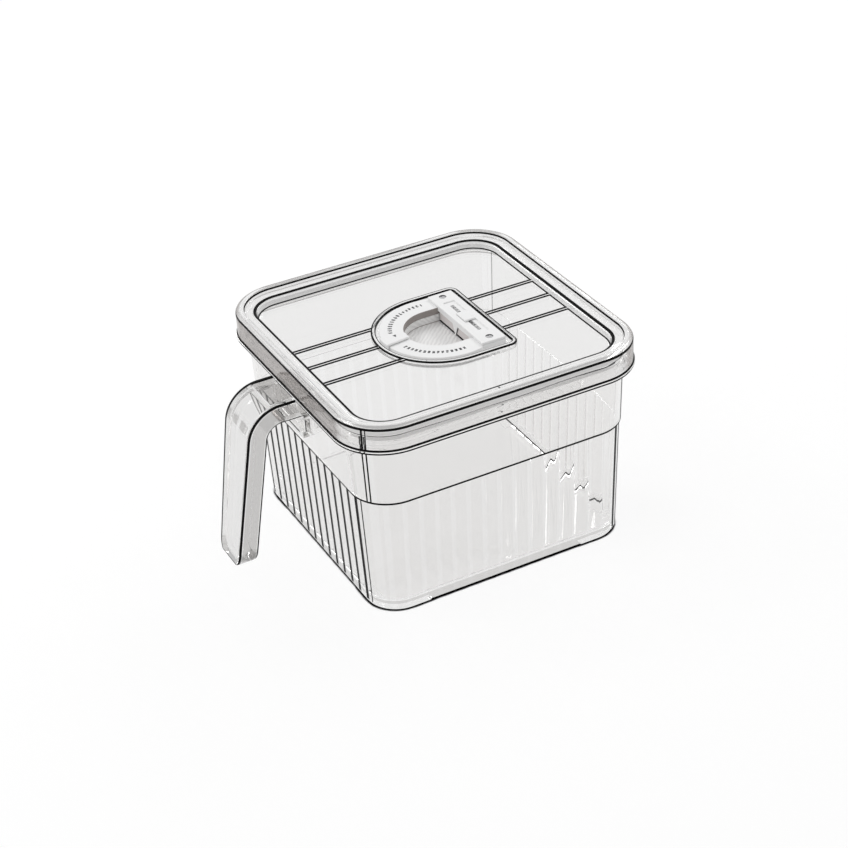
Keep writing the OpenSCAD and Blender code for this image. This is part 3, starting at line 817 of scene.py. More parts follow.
def bin_base():
    """Rings and marks from the middle of the base, over the feet and up the reeds to the step."""
    foot = lower_half(FOOT_H + BASE_R) - BASE_R
    on_foot = np.clip((RUN - FOOT_FROM) / FOOT_BLEND + 0.5, 0, 1)
    on_foot = on_foot * on_foot * (3 - 2 * on_foot)
    rings = [square_ring(CAP_HALF, FOOT_H)]
    for inset, drop in FOOT_PROFILE:
        rings.append(square_ring(foot - inset, FOOT_H * (1 - drop * on_foot)))
    for half, height in arc((foot, FOOT_H + BASE_R), BASE_R, -90, 0, 6):
        rings.append(square_ring(np.minimum(half, lower_half(height) - GROOVE), height))
    lines = [0] * (len(rings) - 1)
    slanting = upright_lines(MIDDLE_TURN, half=MIDDLE_SPREAD) + upright_lines(RIM_TURN, half=RIM_SPREAD)
    strokes = np.where(FROM_GROOVE < STROKE_HALF, 2, upright_lines(LOW_TURN) + 2 * slanting)
    for height in np.linspace(FOOT_H + BASE_R, STEP_H, 7)[1:]:
        rings.append(square_ring(lower_half(height) - GROOVE, height))
        lines.append(strokes)
    return rings, lines


def bin_skin():
    """All the rings of the bin and their marks, round to the middle of its floor."""
    rings, lines = bin_base()
    shell, edges = rounded([
        (lower_half(STEP_H), STEP_H, 0),
        (upper_half(STEP_H), STEP_H, 0.3, 0.3, 0.9),
        (upper_half(BIN_H), BIN_H, RIM_R, -0.4, -0.4),
        (inner_half(BIN_H), BIN_H, RIM_R, -0.4, -0.4),
        (inner_half(STEP_H), STEP_H, 0),
        (inner_half(FLOOR_TOP), FLOOR_TOP, INSIDE_R, -0.5, -0.4),
        (CAP_HALF, FLOOR_TOP, 0),
    ], steps=8)
    on_ends = np.where(np.abs(each_face(OUTWARD[:, 1])) > ON_END, 1, 0)
    outside = np.where(upright_lines(*BAND_TURNS), 1, 2 * upright_lines(RIM_TURN, half=RIM_SPREAD))
    for (half, height), (_, start), line in zip(shell[1:], shell, edges):
        rings.append(square_ring(half, height))
        if min(height, start) > STEP_H - 1 and abs(height - start) > LONG_STRETCH:
            line = outside if height > start else upright_lines(INSIDE_TURN)
        if height < FLOOR_TOP + INSIDE_R:
            line = line * on_ends
        lines.append(line)
    return rings, lines


bin_clear = loft("bin_clear", *bin_skin())
print("bin:", round(2 * upper_half(BIN_H), 1), "mm wide at the rim and", round(BIN_H, 1), "mm high")

# %% [markdown]
# The handle is clipped on: two rails on the front wall hold a plate, and a ledge stops it. They
# are moulded with the bin, so they are joined to it with a boolean.

# %% Handle rails
RIM_HALF = upper_half(BIN_H)
HANDLE_W, HANDLE_T, TIP_W = 28.0, 10.6, 22.6
PLATE_GAP, PLATE_T, RAIL_T = 0.3, 2.5, 1.9
PLATE_Y = RIM_HALF + PLATE_GAP
ARM_LOW, ARM_TOP, HOLD_H = 86.3, 96.9, 8.0
HOLD_LOW = ARM_LOW - HOLD_H
RAIL_ROUND, LEDGE_GAP = 0.3, 0.1
LIP_PAST = 0.7  # share of a rail's thickness that its lip covers


def block(name, low, high, round_by=0.0, mark=-1):
    """A box between two corners, with softened edges where it asks for them."""
    outline = [(low[0], low[1]), (high[0], low[1]), (high[0], high[1]), (low[0], high[1])]
    piece = prism(name, np.array(outline), low[2], high[2])
    return soften(piece, round_by, mark=mark) if round_by else piece


def handle_rails():
    """The rails and their ledge on the front wall."""
    rail_in = HANDLE_W / 2 + PLATE_GAP
    rail_out = rail_in + RAIL_T
    face = -(PLATE_Y + PLATE_T + PLATE_GAP)
    low = HOLD_LOW - RAIL_T
    wall = -(upper_half(low) - WALL / 2)
    for side in (-1, 1):
        near, far = sorted((side * rail_in, side * rail_out))
        rail = block("rail", (near, face - RAIL_T, low), (far, wall, ARM_LOW), RAIL_ROUND)
        combine(bin_clear, rail, "UNION")
        near, far = sorted((side * (rail_in - RAIL_T), side * (rail_in + RAIL_T * LIP_PAST)))
        lip = block("lip", (near, face - RAIL_T, low), (far, face, ARM_LOW - PLATE_GAP), RAIL_ROUND)
        combine(bin_clear, lip, "UNION")
    top = HOLD_LOW - LEDGE_GAP
    ledge = block("ledge", (-rail_out, face - RAIL_T, low), (rail_out, wall, top), RAIL_ROUND, mark=1)
    combine(bin_clear, ledge, "UNION")


handle_rails()
dress(bin_clear, (CLEAR_BODY, EDGE, CLEAR_REED), "container", "clear_body", "container_bin")

# %% [markdown]
# ## The handle
# The handle is a flat bar that leaves the bin level, bends down and ends in a round tip. A bar
# like that is a section carried along a path: the section is a rectangle with round corners, and
# towards the tip it gets narrower and thinner. The thumb pocket and the plate for the rails are
# then cut and joined.

# %% Handle
BEND_Y, BEND_Z, BEND_R = RIM_HALF + 13.8, 78.2, 8.1
LEG_LEAN, LEG_LEN = math.radians(9.4), 70.5
TIP_R, TIP_OUT_R, TIP_IN_R, BAR_EDGE_R = 8.0, 1.8, 4.5, 1.7
TIP_Z = BEND_Z + (BEND_R + HANDLE_T / 2) * math.sin(LEG_LEAN) - LEG_LEN * math.cos(LEG_LEAN)
TIP_SLANT = math.atan((HANDLE_W - TIP_W) / 2 / (BEND_Z - TIP_Z))
TIP_TURN = 1.5  # radians that the rings go round the tip
EDGE_STEPS, EDGE_REACH, TIP_LINE = 6, 1.2, 1.6  # of the drawn edges, past the arc and up from the tip


def front_half(height):
    """Half width of the handle seen from the front: it tapers to a round tip."""
    reach = TIP_W / 2 + TIP_R * math.tan(TIP_SLANT) - TIP_R / math.cos(TIP_SLANT)
    taper = TIP_W / 2 + (height - TIP_Z) * math.tan(TIP_SLANT)
    below = np.clip(TIP_Z + TIP_R - height, 0, TIP_R)
    tip = reach + np.sqrt(TIP_R**2 - below**2)
    return np.minimum(np.where(height < TIP_Z + TIP_R, np.minimum(taper, tip), taper), HANDLE_W / 2)


def bar_section(low, high, edge):
    """A section of the bar as points (across, through), with round corners, for a half width of one."""
    edge = min(edge, (high - low) / 2 * 0.98)
    side = HANDLE_W / 2 - edge
    centres = ((side, high - edge), (-side, high - edge), (-side, low + edge), (side, low + edge))
    arcs = [arc(centre, edge, 90 * k, 90 * k + 90, EDGE_STEPS) for k, centre in enumerate(centres)]
    section = np.concatenate([arcs[0], [(EDGE_REACH - side, high)], *arcs[1:]])
    return section / (HANDLE_W / 2, 1)


def bar_edges():
    """Marks for the long edges of the bar, bold on the near outer one, and for its two sides, which are hazy
    and get a dark tint as painted shade.
    """
    marks = np.zeros((4, EDGE_STEPS + 1), int)
    for corner, start, end in ((0, 1, 4), (1, 0, 2), (3, 1, 5)):
        marks[corner, start:end] = 1
    marks[(1, 3), -1] = 2
    return np.r_[marks[0], 1, marks[1:].ravel()]


def handle_path():
    """Stations of the bar: place out from the bin, height, direction of its outer face, way to go."""
    middle = BEND_R + HANDLE_T / 2
    stations = []
    for out in np.linspace(PLATE_Y, BEND_Y, 8)[:-1]:
        stations.append((out, BEND_Z + middle, math.pi / 2, LEG_LEN))
    for turn in np.linspace(math.pi / 2, LEG_LEAN, 33):
        stations.append((BEND_Y + middle * math.cos(turn), BEND_Z + middle * math.sin(turn), turn, LEG_LEN))
    out, height = stations[-1][:2]
    straight = LEG_LEN - TIP_R
    round_tip = straight + TIP_R * np.sin(np.linspace(0, TIP_TURN, 28))
    for way in np.r_[np.linspace(0, straight, 12)[1:], round_tip[1:]]:
        place = (out + way * math.sin(LEG_LEAN), height - way * math.cos(LEG_LEAN))
        stations.append((*place, LEG_LEAN, LEG_LEN - way))
    return stations


def handle_bar():
    """The bar itself, with its round tip."""
    rings, lines = [], []
    for out, height, turn, left in handle_path():
        through = []
        for radius in (TIP_IN_R, TIP_OUT_R):
            short = max(radius - left, 0)
            through.append(HANDLE_T / 2 - radius + math.sqrt(radius**2 - short**2))
        section = bar_section(-through[0], through[1], BAR_EDGE_R)
        away = out + section[:, 1] * math.cos(turn)
        level = np.maximum(height + section[:, 1] * math.sin(turn), TIP_Z)
        rings.append(np.c_[section[:, 0] * front_half(level), -away, level])
        lines.append(1 if left < TIP_LINE else bar_edges())
    return loft("handle_clear", rings, lines[1:])


handle_clear = handle_bar()
print("handle: tip at", round(TIP_Z, 1), "mm over the table")

# %% [markdown]
# The thumb pocket is a cut in the top of the arm, and a plate at its root slides into the rails.
# On a real mould both are steel that meets the bar, and here both are booleans. A slightly larger
# cut at the mouth of the pocket leaves a narrow rim of faces for its drawn edge.

# %% Thumb pocket and plate
THUMB_FLOOR, THUMB_HALF, THUMB_END, LIP_CLEAR = 93.4, 10.7, 90.92, 79.32
THUMB_LINE, THUMB_ROUND, PLATE_ROUND = 0.4, 1.2, 0.4
BEYOND = 5.0  # how far a cutter reaches past what it cuts


def thumb_pocket():
    """Cuts the mouth, the pocket and the room for the lid's skirt out of the arm."""
    wide, root, top = THUMB_HALF + THUMB_LINE, BEYOND - PLATE_Y, ARM_TOP + BEYOND
    mouth = block("mouth", (-wide, -THUMB_END - THUMB_LINE, ARM_TOP - THUMB_LINE), (wide, root, top))
    pocket = block("pocket", (-THUMB_HALF, -THUMB_END, THUMB_FLOOR), (THUMB_HALF, root, top), THUMB_ROUND)
    shelf = block("shelf", (-HANDLE_W, -LIP_CLEAR, THUMB_FLOOR), (HANDLE_W, root, top))
    # The pocket's faces get the hazy material, whose dark tint paints shade in it.
    for cutter, mark in ((mouth, 1), (pocket, 2), (shelf, 0)):
        combine(handle_clear, paint(cutter, mark), "DIFFERENCE")


def rail_plate():
    """Joins the plate that slides into the rails."""
    half = HANDLE_W / 2
    low, high = (-half, -PLATE_Y - PLATE_T, HOLD_LOW), (half, -PLATE_Y, THUMB_FLOOR)
    combine(handle_clear, block("plate", low, high, PLATE_ROUND, mark=1), "UNION")


thumb_pocket()
rail_plate()
dress(handle_clear, (CLEAR_HANDLE, EDGE, HAZY_SHADED_HANDLE), "container", "clear_handle", "carry_handle")

# %% [markdown]
# ## The lid
# The lid's border is lofted like the bin: panel, inner wall, stepped rim, crown, skirt and bead,
# then back inside. The three ribs and the pocket of the dial are volumes of their own, with round
# edges, and a boolean joins them to the panel, which is how the steel of the mould is cut as well.

# %% Lid levels
PANEL_TOP, PANEL_LOW, RIM_TOP, SKIRT_LOW = 102.2, 100.2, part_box("lid_shell")[1].z / MM, 94.2
SKIRT_IN, SKIRT_OUT, BEAD_OUT, BEAD_H = 75.52, 77.82, 0.7, 2.4
PANEL_HALF, CROWN_IN, CHANNEL_IN = 67.42, 73.42, 69.42
BAND_TOP, BAND_RISE, CEILING, CROWN_CEILING = 106.3, 0.5, 104.3, 106.4
FACE_LEAN, EDGE_R, CROWN_R = 0.4, 1.0, 2.1
RIB_W, RIB_H, RIB_PITCH = 2.9, 0.5, 17.05
DIAL_Y, POCKET_R, POCKET_BACK, POCKET_CORNER = 5.0, 33.6, 26.0, 5.0
BEZEL_W, BEZEL_TOP, POCKET_FLOOR, POCKET_T = 2.4, 102.9, 99.3, 1.5
LEDGE = 1.2  # of the bezel, past the panel's opening and under the dial
RECESS_R, CUP_T, CUP_LOW, WALL_BACK = 17.5, 1.2, 94.2, 11.6
SEAT_GAP, SLIDE_GAP = 0.1, 0.3
SCREW_X, SCREW_Y, BOSS_R, SHANK_R = 23.45, 19.5, 2.5, 1.05


def d_outline(inset=0.0, steps=40):
    """The dial's pocket seen from above: a half circle, straight sides and two round corners."""
    r, back, corner = POCKET_R - inset, POCKET_BACK - inset, POCKET_CORNER - inset
    turn = np.concatenate([
        arc((0, 0), r, 180, 360, 2 * steps),
        arc((POCKET_R - POCKET_CORNER, POCKET_BACK - POCKET_CORNER), corner, 0, 90, steps // 4),
        arc((POCKET_CORNER - POCKET_R, POCKET_BACK - POCKET_CORNER), corner, 90, 180, steps // 4),
    ])
    return turn + (0, DIAL_Y)


def recess_outline(r, back, steps=48):
    """The finger recess seen from above: a half circle with straight sides to a flat back."""
    turn = arc((0, 0), r, 180, 360, steps)
    return np.r_[turn, [(r, back), (-r, back)]] + (0, DIAL_Y)


def d_ring(inset, height):
    """A ring round the dial's pocket."""
    return at_height(d_outline(inset), height)


def screw_circle(side, radius):
    """A circle round the screw on one side of the dial, seen from above."""
    return arc((side * SCREW_X, SCREW_Y), radius, 0, 360, 32)[:-1]


print("lid: rim at", round(RIM_TOP, 1), "mm and panel at", PANEL_TOP, "mm over the table")

# %% [markdown]
# The border's section has a corner for each edge of the moulding, from the panel over the rim to
# the bead of the skirt and back inside. It could be a bevelled box, but then every edge would have
# the same radius. The crown and the skirt are marked as bands of their own, which get a darker tint
# that paints shade on them.

# %% Lid border
SKIRT_TURNS = (40, 44)  # degrees from the handle's side, of the lines on the skirt's corners
NEAR = 0.01  # slack where two widths are compared
SKIRT_DROP = 5  # a longer way down in one stretch is the wall of the skirt


def lid_skin():
    """The lid's border as rings and marks, from the middle of the panel's top to its underside."""
    section, edges = rounded([
        (CAP_HALF, PANEL_TOP, 0),
        (PANEL_HALF - FACE_LEAN, PANEL_TOP, 0.25, 0.3, 0.2),
        (PANEL_HALF, BAND_TOP, EDGE_R, -0.4, 0.8),
        (CROWN_IN - FACE_LEAN, BAND_TOP + BAND_RISE, 0.3),
        (CROWN_IN, RIM_TOP, EDGE_R, 0.3, -0.5),
        (SKIRT_OUT, RIM_TOP, CROWN_R, -0.62, 0.0),
        (SKIRT_OUT, SKIRT_LOW + BEAD_H, 0.3, 0.1, 0.7),
        (SKIRT_OUT + BEAD_OUT, SKIRT_LOW + BEAD_H - BEAD_OUT, 0.4),
        (SKIRT_OUT + BEAD_OUT, SKIRT_LOW, 0.8, 0.4, -0.5),
        (SKIRT_IN, SKIRT_LOW, 0.5),
        (SKIRT_IN, CROWN_CEILING, 0.5),
        (CROWN_IN + FACE_LEAN, CROWN_CEILING, 0.3),
        (CROWN_IN, CEILING, 0.3),
        (CHANNEL_IN, CEILING, 0.3),
        (CHANNEL_IN, PANEL_LOW, 0.4),
        (CAP_HALF, PANEL_LOW, 0),
    ], steps=8)
    rings = [square_ring(half, height, SMOOTH) for half, height in section]
    lines = []
    for a, b, line in zip(section, section[1:], edges):
        on_crown = a[0] > SKIRT_OUT - CROWN_R - NEAR and b[1] > SKIRT_LOW + BEAD_H + 1
        on_skirt = a[0] > SKIRT_OUT - NEAR and a[1] > b[1] + SKIRT_DROP
        if on_skirt:
            line = 2 - upright_lines(*SKIRT_TURNS, kept=SMOOTH)
        elif on_crown and b[0] > a[0] and line == 0:
            line = 2
        lines.append(line)
    return rings, lines


lid_clear = loft("lid_clear", *lid_skin())
combine(lid_clear, prism("opening", d_outline(LEDGE), PANEL_LOW - 1, PANEL_TOP + 1), "DIFFERENCE")
print("lid border:", len(lid_clear.data.polygons), "faces")

# %% [markdown]
# Three ribs stiffen the thin panel. Each is a short bar with a round top. It is sunk into the panel
# and into the rim, so that the boolean has volumes that overlap and leaves no seam. The bars stop
# under the bezel, so the pocket stays free.

# %% Ribs
RIB_SUNK, RIB_FOOT = 0.8, 0.5  # into the rim, and how far its foot stays over the panel's underside
RIB_EDGE = 0.3


def rib_bar(x, start, end):
    """One stretch of a rib along the lid, sunk into the panel, with a round top."""
    low, top = PANEL_LOW + RIB_FOOT, PANEL_TOP + RIB_H
    section, edges = rounded([
        (0, low, 0), (RIB_W / 2, low, 0), (RIB_W / 2, top, RIB_EDGE, 0.3, 0.3),
        (-RIB_W / 2, top, RIB_EDGE, 1.4, 0.4), (-RIB_W / 2, low, 0), (0, low, 0),
    ], steps=4)
    return long_bar("rib", section[1:-1] + (x, 0), start, end, np.array(edges[1:]))


def lid_ribs():
    """Three ribs, from the rim to the middle of the bezel on both sides of the dial."""
    middle_r = POCKET_R - BEZEL_W / 2
    for x in (-RIB_PITCH, 0, RIB_PITCH):
        front, back = DIAL_Y - math.sqrt(middle_r**2 - x**2), DIAL_Y + POCKET_BACK - BEZEL_W / 2
        for start, end in ((-PANEL_HALF - RIB_SUNK, front), (back, PANEL_HALF + RIB_SUNK)):
            combine(lid_clear, rib_bar(x, start, end), "UNION")


lid_ribs()
print("lid with ribs:", len(lid_clear.data.polygons), "faces")

# %% [markdown]
# The dial lies in a pocket of the panel, and a raised bezel runs round it. The pocket has to hold
# water out, so its floor closes it, with a deeper well for the finger cup and two blind bosses
# for the screws. All of them are prisms and rings of the same two outlines, joined and cut.

# %% Dial pocket
SUNK = 0.2  # how far the top of a volume stays under the floor's face
BEZEL_DROP = 1.5  # a longer way down in one stretch is the bezel's inner wall
SHADE_X, SHADE_Y = -20, (-8, 10)  # the stretch of the bezel's inner wall that lies in shade


def bezel_ring():
    """The bezel and the floor under the dial."""
    low = POCKET_FLOOR - POCKET_T
    section, edges = rounded([
        (LEDGE, low, 0),
        (0, low + LEDGE, 0.4),
        (0, BEZEL_TOP, 0.4, 0.6, 0.4),
        (BEZEL_W, BEZEL_TOP, 0.35, 0.2, 0.8),
        (BEZEL_W, POCKET_FLOOR, 0.4),
        (BEZEL_W + LEDGE, POCKET_FLOOR, 0),
    ], steps=5)
    x, y = (each_face(d_outline()) - (0, DIAL_Y)).T
    # The stretch of the inner wall that lies in shade gets the edge material, painted dark as that shade.
    shade = np.where((x < SHADE_X) & (y > SHADE_Y[0]) & (y < SHADE_Y[1]), 1, 0)
    lines = [shade if a[1] > b[1] + BEZEL_DROP else line for a, b, line in zip(section, section[1:], edges)]
    return loft("bezel", [d_ring(inset, height) for inset, height in section], lines)


def dial_pocket():
    """The bezel with its floor, the well for the finger cup and the bosses for the screws."""
    combine(lid_clear, bezel_ring(), "UNION")
    wall_r, wall_back = RECESS_R + CUP_T + SEAT_GAP, WALL_BACK + CUP_T + SEAT_GAP
    well_floor, past_top = CUP_LOW - SEAT_GAP, BEZEL_TOP + 1
    outer = recess_outline(wall_r + POCKET_T, wall_back + POCKET_T)
    combine(lid_clear, prism("well", outer, well_floor - POCKET_T, POCKET_FLOOR - SUNK), "UNION")
    hollow = recess_outline(wall_r, wall_back)
    combine(lid_clear, prism("hollow", hollow, well_floor, past_top), "DIFFERENCE")
    screw_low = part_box("bar_screws")[0].z / MM
    for side in (-1, 1):
        boss = prism("boss", screw_circle(side, BOSS_R), screw_low - POCKET_T, POCKET_FLOOR - SUNK)
        combine(lid_clear, boss, "UNION")
        bore = prism("bore", screw_circle(side, SHANK_R), screw_low - SEAT_GAP, past_top)
        combine(lid_clear, bore, "DIFFERENCE")


dial_pocket()
dress(lid_clear, (CLEAR_LID, EDGE, CLEAR_SHADED_SKIRT), "lid", "clear_lid", "lid_shell")

# %% [markdown]
# A soft silicone ring in the lid's channel closes the container. Its section has a lip that goes
# inside the bin's rim. The section is carried round the square without an end, so the loft needs
# no flat faces.

# %% Seal
SEAL_LIP, SEAL_H = 3.0, 2.6  # under the bin's rim and over it


def seal_ring():
    """A soft ring of silicone under the rim, with a lip inside the bin and round edges."""
    seal_in, seal_out = CHANNEL_IN + SEAT_GAP, CROWN_IN - SLIDE_GAP
    low, seat = BIN_H - SEAL_LIP, BIN_H + SEAT_GAP
    lip_out, top = inner_half(low) - SLIDE_GAP, seat + SEAL_H
    section, _ = rounded([
        (seal_in, low + SEAL_LIP / 2, 0), (seal_in, low, 0.4), (lip_out, low, 0.4), (lip_out, seat, 0.2),
        (seal_out, seat, 0.5), (seal_out, top, 0.5), (seal_in, top, 0.5), (seal_in, low + SEAL_LIP / 2, 0),
    ], steps=4)
    return loft("seal_ring", [square_ring(*point, SMOOTH) for point in section[:-1]], endless=True)


dress(seal_ring(), (SEAL,), "lid", "seal", "lid_seal")

# %% [markdown]
# ## The dial
# The dial is a white horseshoe plate with the days printed round it, a bar across its open end
# with the months in a shallow window, and two tabs that slide: one round the days, one along the
# months. The finger recess in the middle lets the lid be lifted by the bar.

# %% Dial plate and cup
PLATE_TOP, PLATE_LOW, DIAL_R = 103.0, 99.4, 29.6
BAR_FRONT, BAR_DEPTH, BAR_LEN = 8.2, 13.2, 55.2
BAR_LOW, BAR_TOP, WEB_LOW, WINDOW_FLOOR = 103.1, 104.5, 101.5, 103.9
WINDOW_LEN, WINDOW_W, SLOT_W = 35.2, 6.4, 2.0
# CUP_LINE is the height of the band at the foot of the cup's wall that is painted grey as shade.
RECESS_FLOOR, CUP_LINE, CUP_EDGE = 95.4, 0.35, 0.3
APRON_IN, APRON_UP, APRON_T = 0.8, 0.8, 0.8  # back from the bar's front, up from the floor, thick
# APRON_LINE is the width of the shadow lines painted black round the apron's edges.
APRON_LINE = 0.55  # of the drawn edges on the apron
DARK_LOW, DARK_TOP = 0.3, 0.05  # of the dark floor under the bar, below and above the cup's floor
PLATE_EDGE = 0.45
BESIDE = 0.2  # how near to a wall a face counts as part of it


def horseshoe():
    """Outline of the dial plate, open at the back."""
    half, back = BAR_LEN / 2, BAR_FRONT + BAR_DEPTH
    turn = math.degrees(math.asin(BAR_FRONT / DIAL_R))
    outer = arc((0, 0), DIAL_R, -180 - turn, turn, 96)
    arm = [(half, BAR_FRONT), (half, back), (RECESS_R, back)]
    inner = arc((0, 0), RECESS_R, 0, -180, 64)
    other = [(-RECESS_R, back), (-half, back), (-half, BAR_FRONT)]
    return np.r_[outer, arm, inner, other] + (0, DIAL_Y)


def dial_plate():
    """The horseshoe plate, with its inner wall painted grey as shade."""
    shape = horseshoe()
    x, y = (each_face(shape) - (0, DIAL_Y)).T
    in_hole = (np.hypot(x, y) < RECESS_R + BESIDE) | ((np.abs(x) < RECESS_R + BESIDE) & (y > -BESIDE))
    return soften(prism("dial_face", shape, PLATE_LOW, PLATE_TOP, np.where(in_hole, 1, 0)), PLATE_EDGE)


def finger_cup():
    """The frosted cup, with shade painted dark along the foot of its wall, at its back wall and on the floor
    by it.
    """
    outer, inside = recess_outline(RECESS_R + CUP_T, WALL_BACK + CUP_T), recess_outline(RECESS_R, WALL_BACK)
    cup = soften(prism("finger_cup", outer, CUP_LOW, PLATE_LOW - SEAT_GAP), CUP_EDGE)
    back_wall_shade = np.where(each_face(inside)[:, 1] > DIAL_Y + WALL_BACK - BESIDE, 2, 0)
    rings = [at_height(inside, z) for z in (RECESS_FLOOR, RECESS_FLOOR + CUP_LINE, PLATE_TOP)]
    combine(cup, loft("hollow", rings, [1, back_wall_shade]), "DIFFERENCE")
    # A thin black plate on the floor under the bar, painted there as shade.
    low = (-RECESS_R, DIAL_Y + BAR_FRONT + APRON_IN, RECESS_FLOOR - DARK_LOW)
    under_bar = block("under_bar", low, (RECESS_R, DIAL_Y + WALL_BACK, RECESS_FLOOR + DARK_TOP))
    return combine(cup, paint(under_bar, 2), "UNION")


dress(dial_plate(), (DIAL_WHITE, PAINTED_SHADE_GREY), "lid", "dial_white", "dial_plate")
dress(finger_cup(), (FROSTED, PAINTED_SHADE_GREY, INK_AND_SHADE), "lid", "frosted_cup", "recess_cup")

# %% [markdown]
# The bar across the recess is what the fingers pull. It is a thin plate with a shallow window for
# the months and a slot for the neck of the slider. A web fills the gap between the arms of the
# dial, and an apron with a pointed post closes the recess under it. The apron is painted grey as
# the shade under the bar, and shadow lines are painted black round its edges and round the post.

# %% Month bar
SLIDER_LEN, HEAD_R = 9.0, 1.9
BAR_EDGE, WEB_COVER = 0.4, 0.7  # its round edges, and what lies over its web
POST_HALF, POST_FRONT, LINE_FRONT, POST_BACK = 2.5, 0.2, 0.5, 1.2  # back from the bar's front
JOIN = 0.5  # how far a piece under the web reaches up into it
FLUSH = 0.02  # keeps two faces from lying in one plane


def centred_block(name, length, width, low, high, round_by=0.0):
    """A block about the middle of the month window, seen from above."""
    x, y = length / 2, width / 2
    return block(name, (-x, SCREW_Y - y, low), (x, SCREW_Y + y, high), round_by)


def bar_plate(front, back, web):
    """The plate with its web, its window, the slot and the holes for the screws."""
    half = BAR_LEN / 2
    bar = block("month_bar_white", (-half, front, BAR_LOW), (half, back, BAR_TOP), BAR_EDGE)
    low, high = (-web, front + FLUSH, WEB_LOW), (web, back - FLUSH, BAR_TOP - WEB_COVER)
    combine(bar, block("web", low, high), "UNION")
    combine(bar, centred_block("window", WINDOW_LEN, WINDOW_W, WINDOW_FLOOR, BAR_TOP + 1), "DIFFERENCE")
    slot_len = WINDOW_LEN - SLIDER_LEN + SLOT_W
    combine(bar, centred_block("slot", slot_len, SLOT_W, WEB_LOW - 1, BAR_TOP), "DIFFERENCE")
    # The walls of the screw holes are painted black as shade.
    for side in (-1, 1):
        for radius, low in ((SHANK_R, BAR_LOW - 1), (HEAD_R, WINDOW_FLOOR)):
            combine(bar, prism("hole", screw_circle(side, radius), low, BAR_TOP + 1, 2), "DIFFERENCE")
    return bar


def month_bar():
    """The pull bar, with the apron under it painted grey as shade, and a pointed post with a black outline
    painted as its shadow.
    """
    front, back, web = DIAL_Y + BAR_FRONT, DIAL_Y + BAR_FRONT + BAR_DEPTH, RECESS_R - SLIDE_GAP
    bar, top = bar_plate(front, back, web), WEB_LOW + JOIN
    face = front + APRON_IN
    apron = block("apron", (-web, face, RECESS_FLOOR + APRON_UP), (web, face + APRON_T, top))
    combine(bar, soften(paint(apron, 1), APRON_LINE, 1, mark=2), "UNION")
    # The wider triangle behind the post is painted black as its shadow.
    for half, near, mark in ((POST_HALF + APRON_LINE, LINE_FRONT, 2), (POST_HALF, POST_FRONT, 0)):
        point = (0, RECESS_FLOOR + SEAT_GAP)
        tip = np.array([(-half, top), (-half, WEB_LOW), point, (half, WEB_LOW), (half, top)])
        combine(bar, paint(long_bar("post", tip, front + near, front + POST_BACK), mark), "UNION")
    return bar


dress(month_bar(), (DIAL_WHITE, APRON_SHADE_GREY, INK_AND_SHADE), "lid", "dial_white", "month_bar")

# %% [markdown]
# Two tabs are set by hand: one goes round the days, and the other along the months. Each is a soft
# plate with a leg or a neck that reaches through to the piece that holds it from below. They ride
# on bodies of their own, so nothing here is joined to the lid.

# %% Pointers
TAB_DEG, LEG_DEG = 7.5, 7.3  # half angles of the day pointer and of its leg
POINTER_LOW, POINTER_TOP = 103.3, 104.5
LEG_IN, LEG_OUT, LEG_LOW, LEG_TOP = 29.9, 30.9, 100.55, 104.0
SLIDER_W, SLIDER_LOW, SLIDER_TOP, TAB_EDGE = 5.8, 104.05, 105.1, 0.35
NECK_LEN, NECK_W, NECK_LOW, NECK_TOP = 3.4, 1.4, 101.2, 104.5


def ring_wedge(r_in, r_out, half_deg):
    """A wedge of a ring, about the way to the handle."""
    near = arc((0, 0), r_in, -90 - half_deg, -90 + half_deg, 12)
    far = arc((0, 0), r_out, -90 + half_deg, -90 - half_deg, 12)
    return np.r_[near, far] + (0, DIAL_Y)


def day_tab():
    """The day pointer, with the leg that reaches down to its runner."""
    wedge = ring_wedge(RECESS_R + SLIDE_GAP, LEG_OUT, TAB_DEG)
    tab = soften(prism("day_pointer_tab", wedge, POINTER_LOW, POINTER_TOP), TAB_EDGE)
    leg = prism("leg", ring_wedge(LEG_IN, LEG_OUT - FLUSH, LEG_DEG), LEG_LOW, LEG_TOP)
    return combine(tab, leg, "UNION")


def month_tab():
    """The month slider, with the neck that reaches down to its clip."""
    tab = centred_block("month_slider_tab", SLIDER_LEN, SLIDER_W, SLIDER_LOW, SLIDER_TOP, TAB_EDGE)
    return combine(tab, centred_block("neck", NECK_LEN, NECK_W, NECK_LOW, NECK_TOP), "UNION")


dress(day_tab(), (DIAL_WHITE,), "day_hand", "dial_white", "day_pointer")
dress(month_tab(), (DIAL_WHITE,), "month_hand", "dial_white", "month_slider")

# %% [markdown]
# ## Print
# The days and months are printed numbers. Text objects turn into thin raised meshes, as pad
# printed ink has a little thickness, and all the numbers of one ring become one piece.

# %% Numbers
INK_T = 0.04
DAY_R, DAY_FIRST, DAY_LAST = 24.4, 19.0, 96.0
DAY_SIZE, DAY_BOLD = 2.5, 0.22  # the outline of a number is thickened by so much
MONTH_SIZE, MONTH_BOLD, MONTH_PITCH = 1.9, 0.02, 2.55
NARROW = {1: 0.8, 2: 0.46}  # narrower where a number has two digits
ARROW_X, ARROW_R, ARROW_LEN, ARROW_W = -1.6, 23.4, 2.2, 1.8
INK_WELD = 1e-8  # metres


def number_mesh(text, size, bold):
    """A centred number as points and faces, in millimetres."""
    curve = bpy.data.curves.new("number", "FONT")
    curve.body = text
    curve.size = size
    curve.align_x, curve.align_y = "CENTER", "CENTER"
    curve.resolution_u = 2
    curve.offset = bold
    label = bpy.data.objects.new("number", curve)
    scene.collection.objects.link(label)
    bpy.context.view_layer.update()
    mesh = bpy.data.meshes.new_from_object(label.evaluated_get(bpy.context.evaluated_depsgraph_get()))
    points = np.array([v.co[:2] for v in mesh.vertices]) * (NARROW[len(text)], 1)
    faces = [list(p.vertices) for p in mesh.polygons]
    bpy.data.objects.remove(label)
    bpy.data.meshes.remove(mesh)
    return points, faces


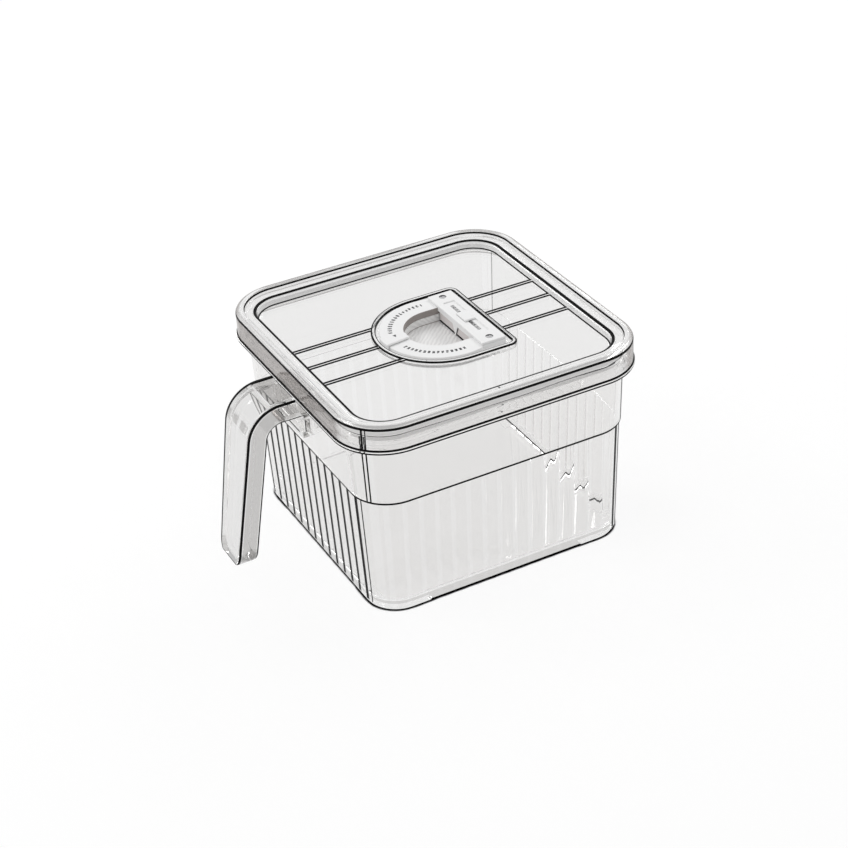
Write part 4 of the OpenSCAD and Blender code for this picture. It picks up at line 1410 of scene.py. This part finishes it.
def print_marks(name, marks, face):
    """One printed piece: marks are (points, faces, place, turn), on a face at a height."""
    net = bmesh.new()
    for points, faces, place, turn in marks:
        spin = np.array(((math.cos(turn), -math.sin(turn)), (math.sin(turn), math.cos(turn))))
        spots = [net.verts.new((x * MM, y * MM, face * MM)) for x, y in points @ spin.T + place]
        for face_spots in faces:
            net.faces.new([spots[i] for i in face_spots])
        bmesh.ops.remove_doubles(net, verts=spots, dist=INK_WELD)
    bmesh.ops.recalc_face_normals(net, faces=net.faces)
    mesh = bpy.data.meshes.new(name)
    net.to_mesh(mesh)
    net.free()
    piece = bpy.data.objects.new(name, mesh)
    scene.collection.objects.link(piece)
    thick = piece.modifiers.new("ink", "SOLIDIFY")
    thick.thickness, thick.offset = INK_T * MM, 1
    return settle(piece)


def day_marks():
    """The days: sixteen on one side of the tab and fifteen on the other, with their feet inwards."""
    marks = []
    for day in range(1, 32):
        if day <= 16:
            turn = -(DAY_FIRST + (16 - day) * (DAY_LAST - DAY_FIRST) / 15)
        else:
            turn = DAY_FIRST + (day - 17) * (DAY_LAST - DAY_FIRST) / 15
        around = math.radians(turn)
        place = np.array((DAY_R * math.sin(around), DIAL_Y - DAY_R * math.cos(around)))
        marks.append((*number_mesh(str(day), DAY_SIZE, DAY_BOLD), place, around))
    return marks


def month_marks():
    """The months, in a row along the window."""
    return [
        (*number_mesh(str(m), MONTH_SIZE, MONTH_BOLD), np.array(((m - 6.5) * MONTH_PITCH, SCREW_Y)), 0.0)
        for m in range(1, 13)
    ]


dress(print_marks("day_numbers", day_marks(), PLATE_TOP), (INK_AND_SHADE,), "lid", "dial_white")
dress(print_marks("month_numbers", month_marks(), WINDOW_FLOOR), (INK_AND_SHADE,), "lid", "dial_white")
arrow = np.array([(-ARROW_LEN, ARROW_W), (-ARROW_LEN, -ARROW_W), (ARROW_LEN, 0)]) / 2
arrow_marks = [(arrow, [[0, 1, 2]], np.array((ARROW_X, DIAL_Y - ARROW_R)), 0.0)]
dress(print_marks("pointer_arrow", arrow_marks, POINTER_TOP), (INK_AND_SHADE,), "day_hand", "dial_white")

# %% [markdown]
# ## What stays as built
# The screws, the runner of the day pointer and the clip of the month slider are plain small pieces
# that are hardly seen. Their solids already have the right shape, so they only get a material.

# %% Carried-over pieces
for node, material in (("bar_screws", STEEL), ("pointer_runner", RUNNER), ("slider_clip", RUNNER)):
    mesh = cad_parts[node].data
    mesh.materials.clear()
    mesh.materials.append(material)
    print(node, "gets", material.name)
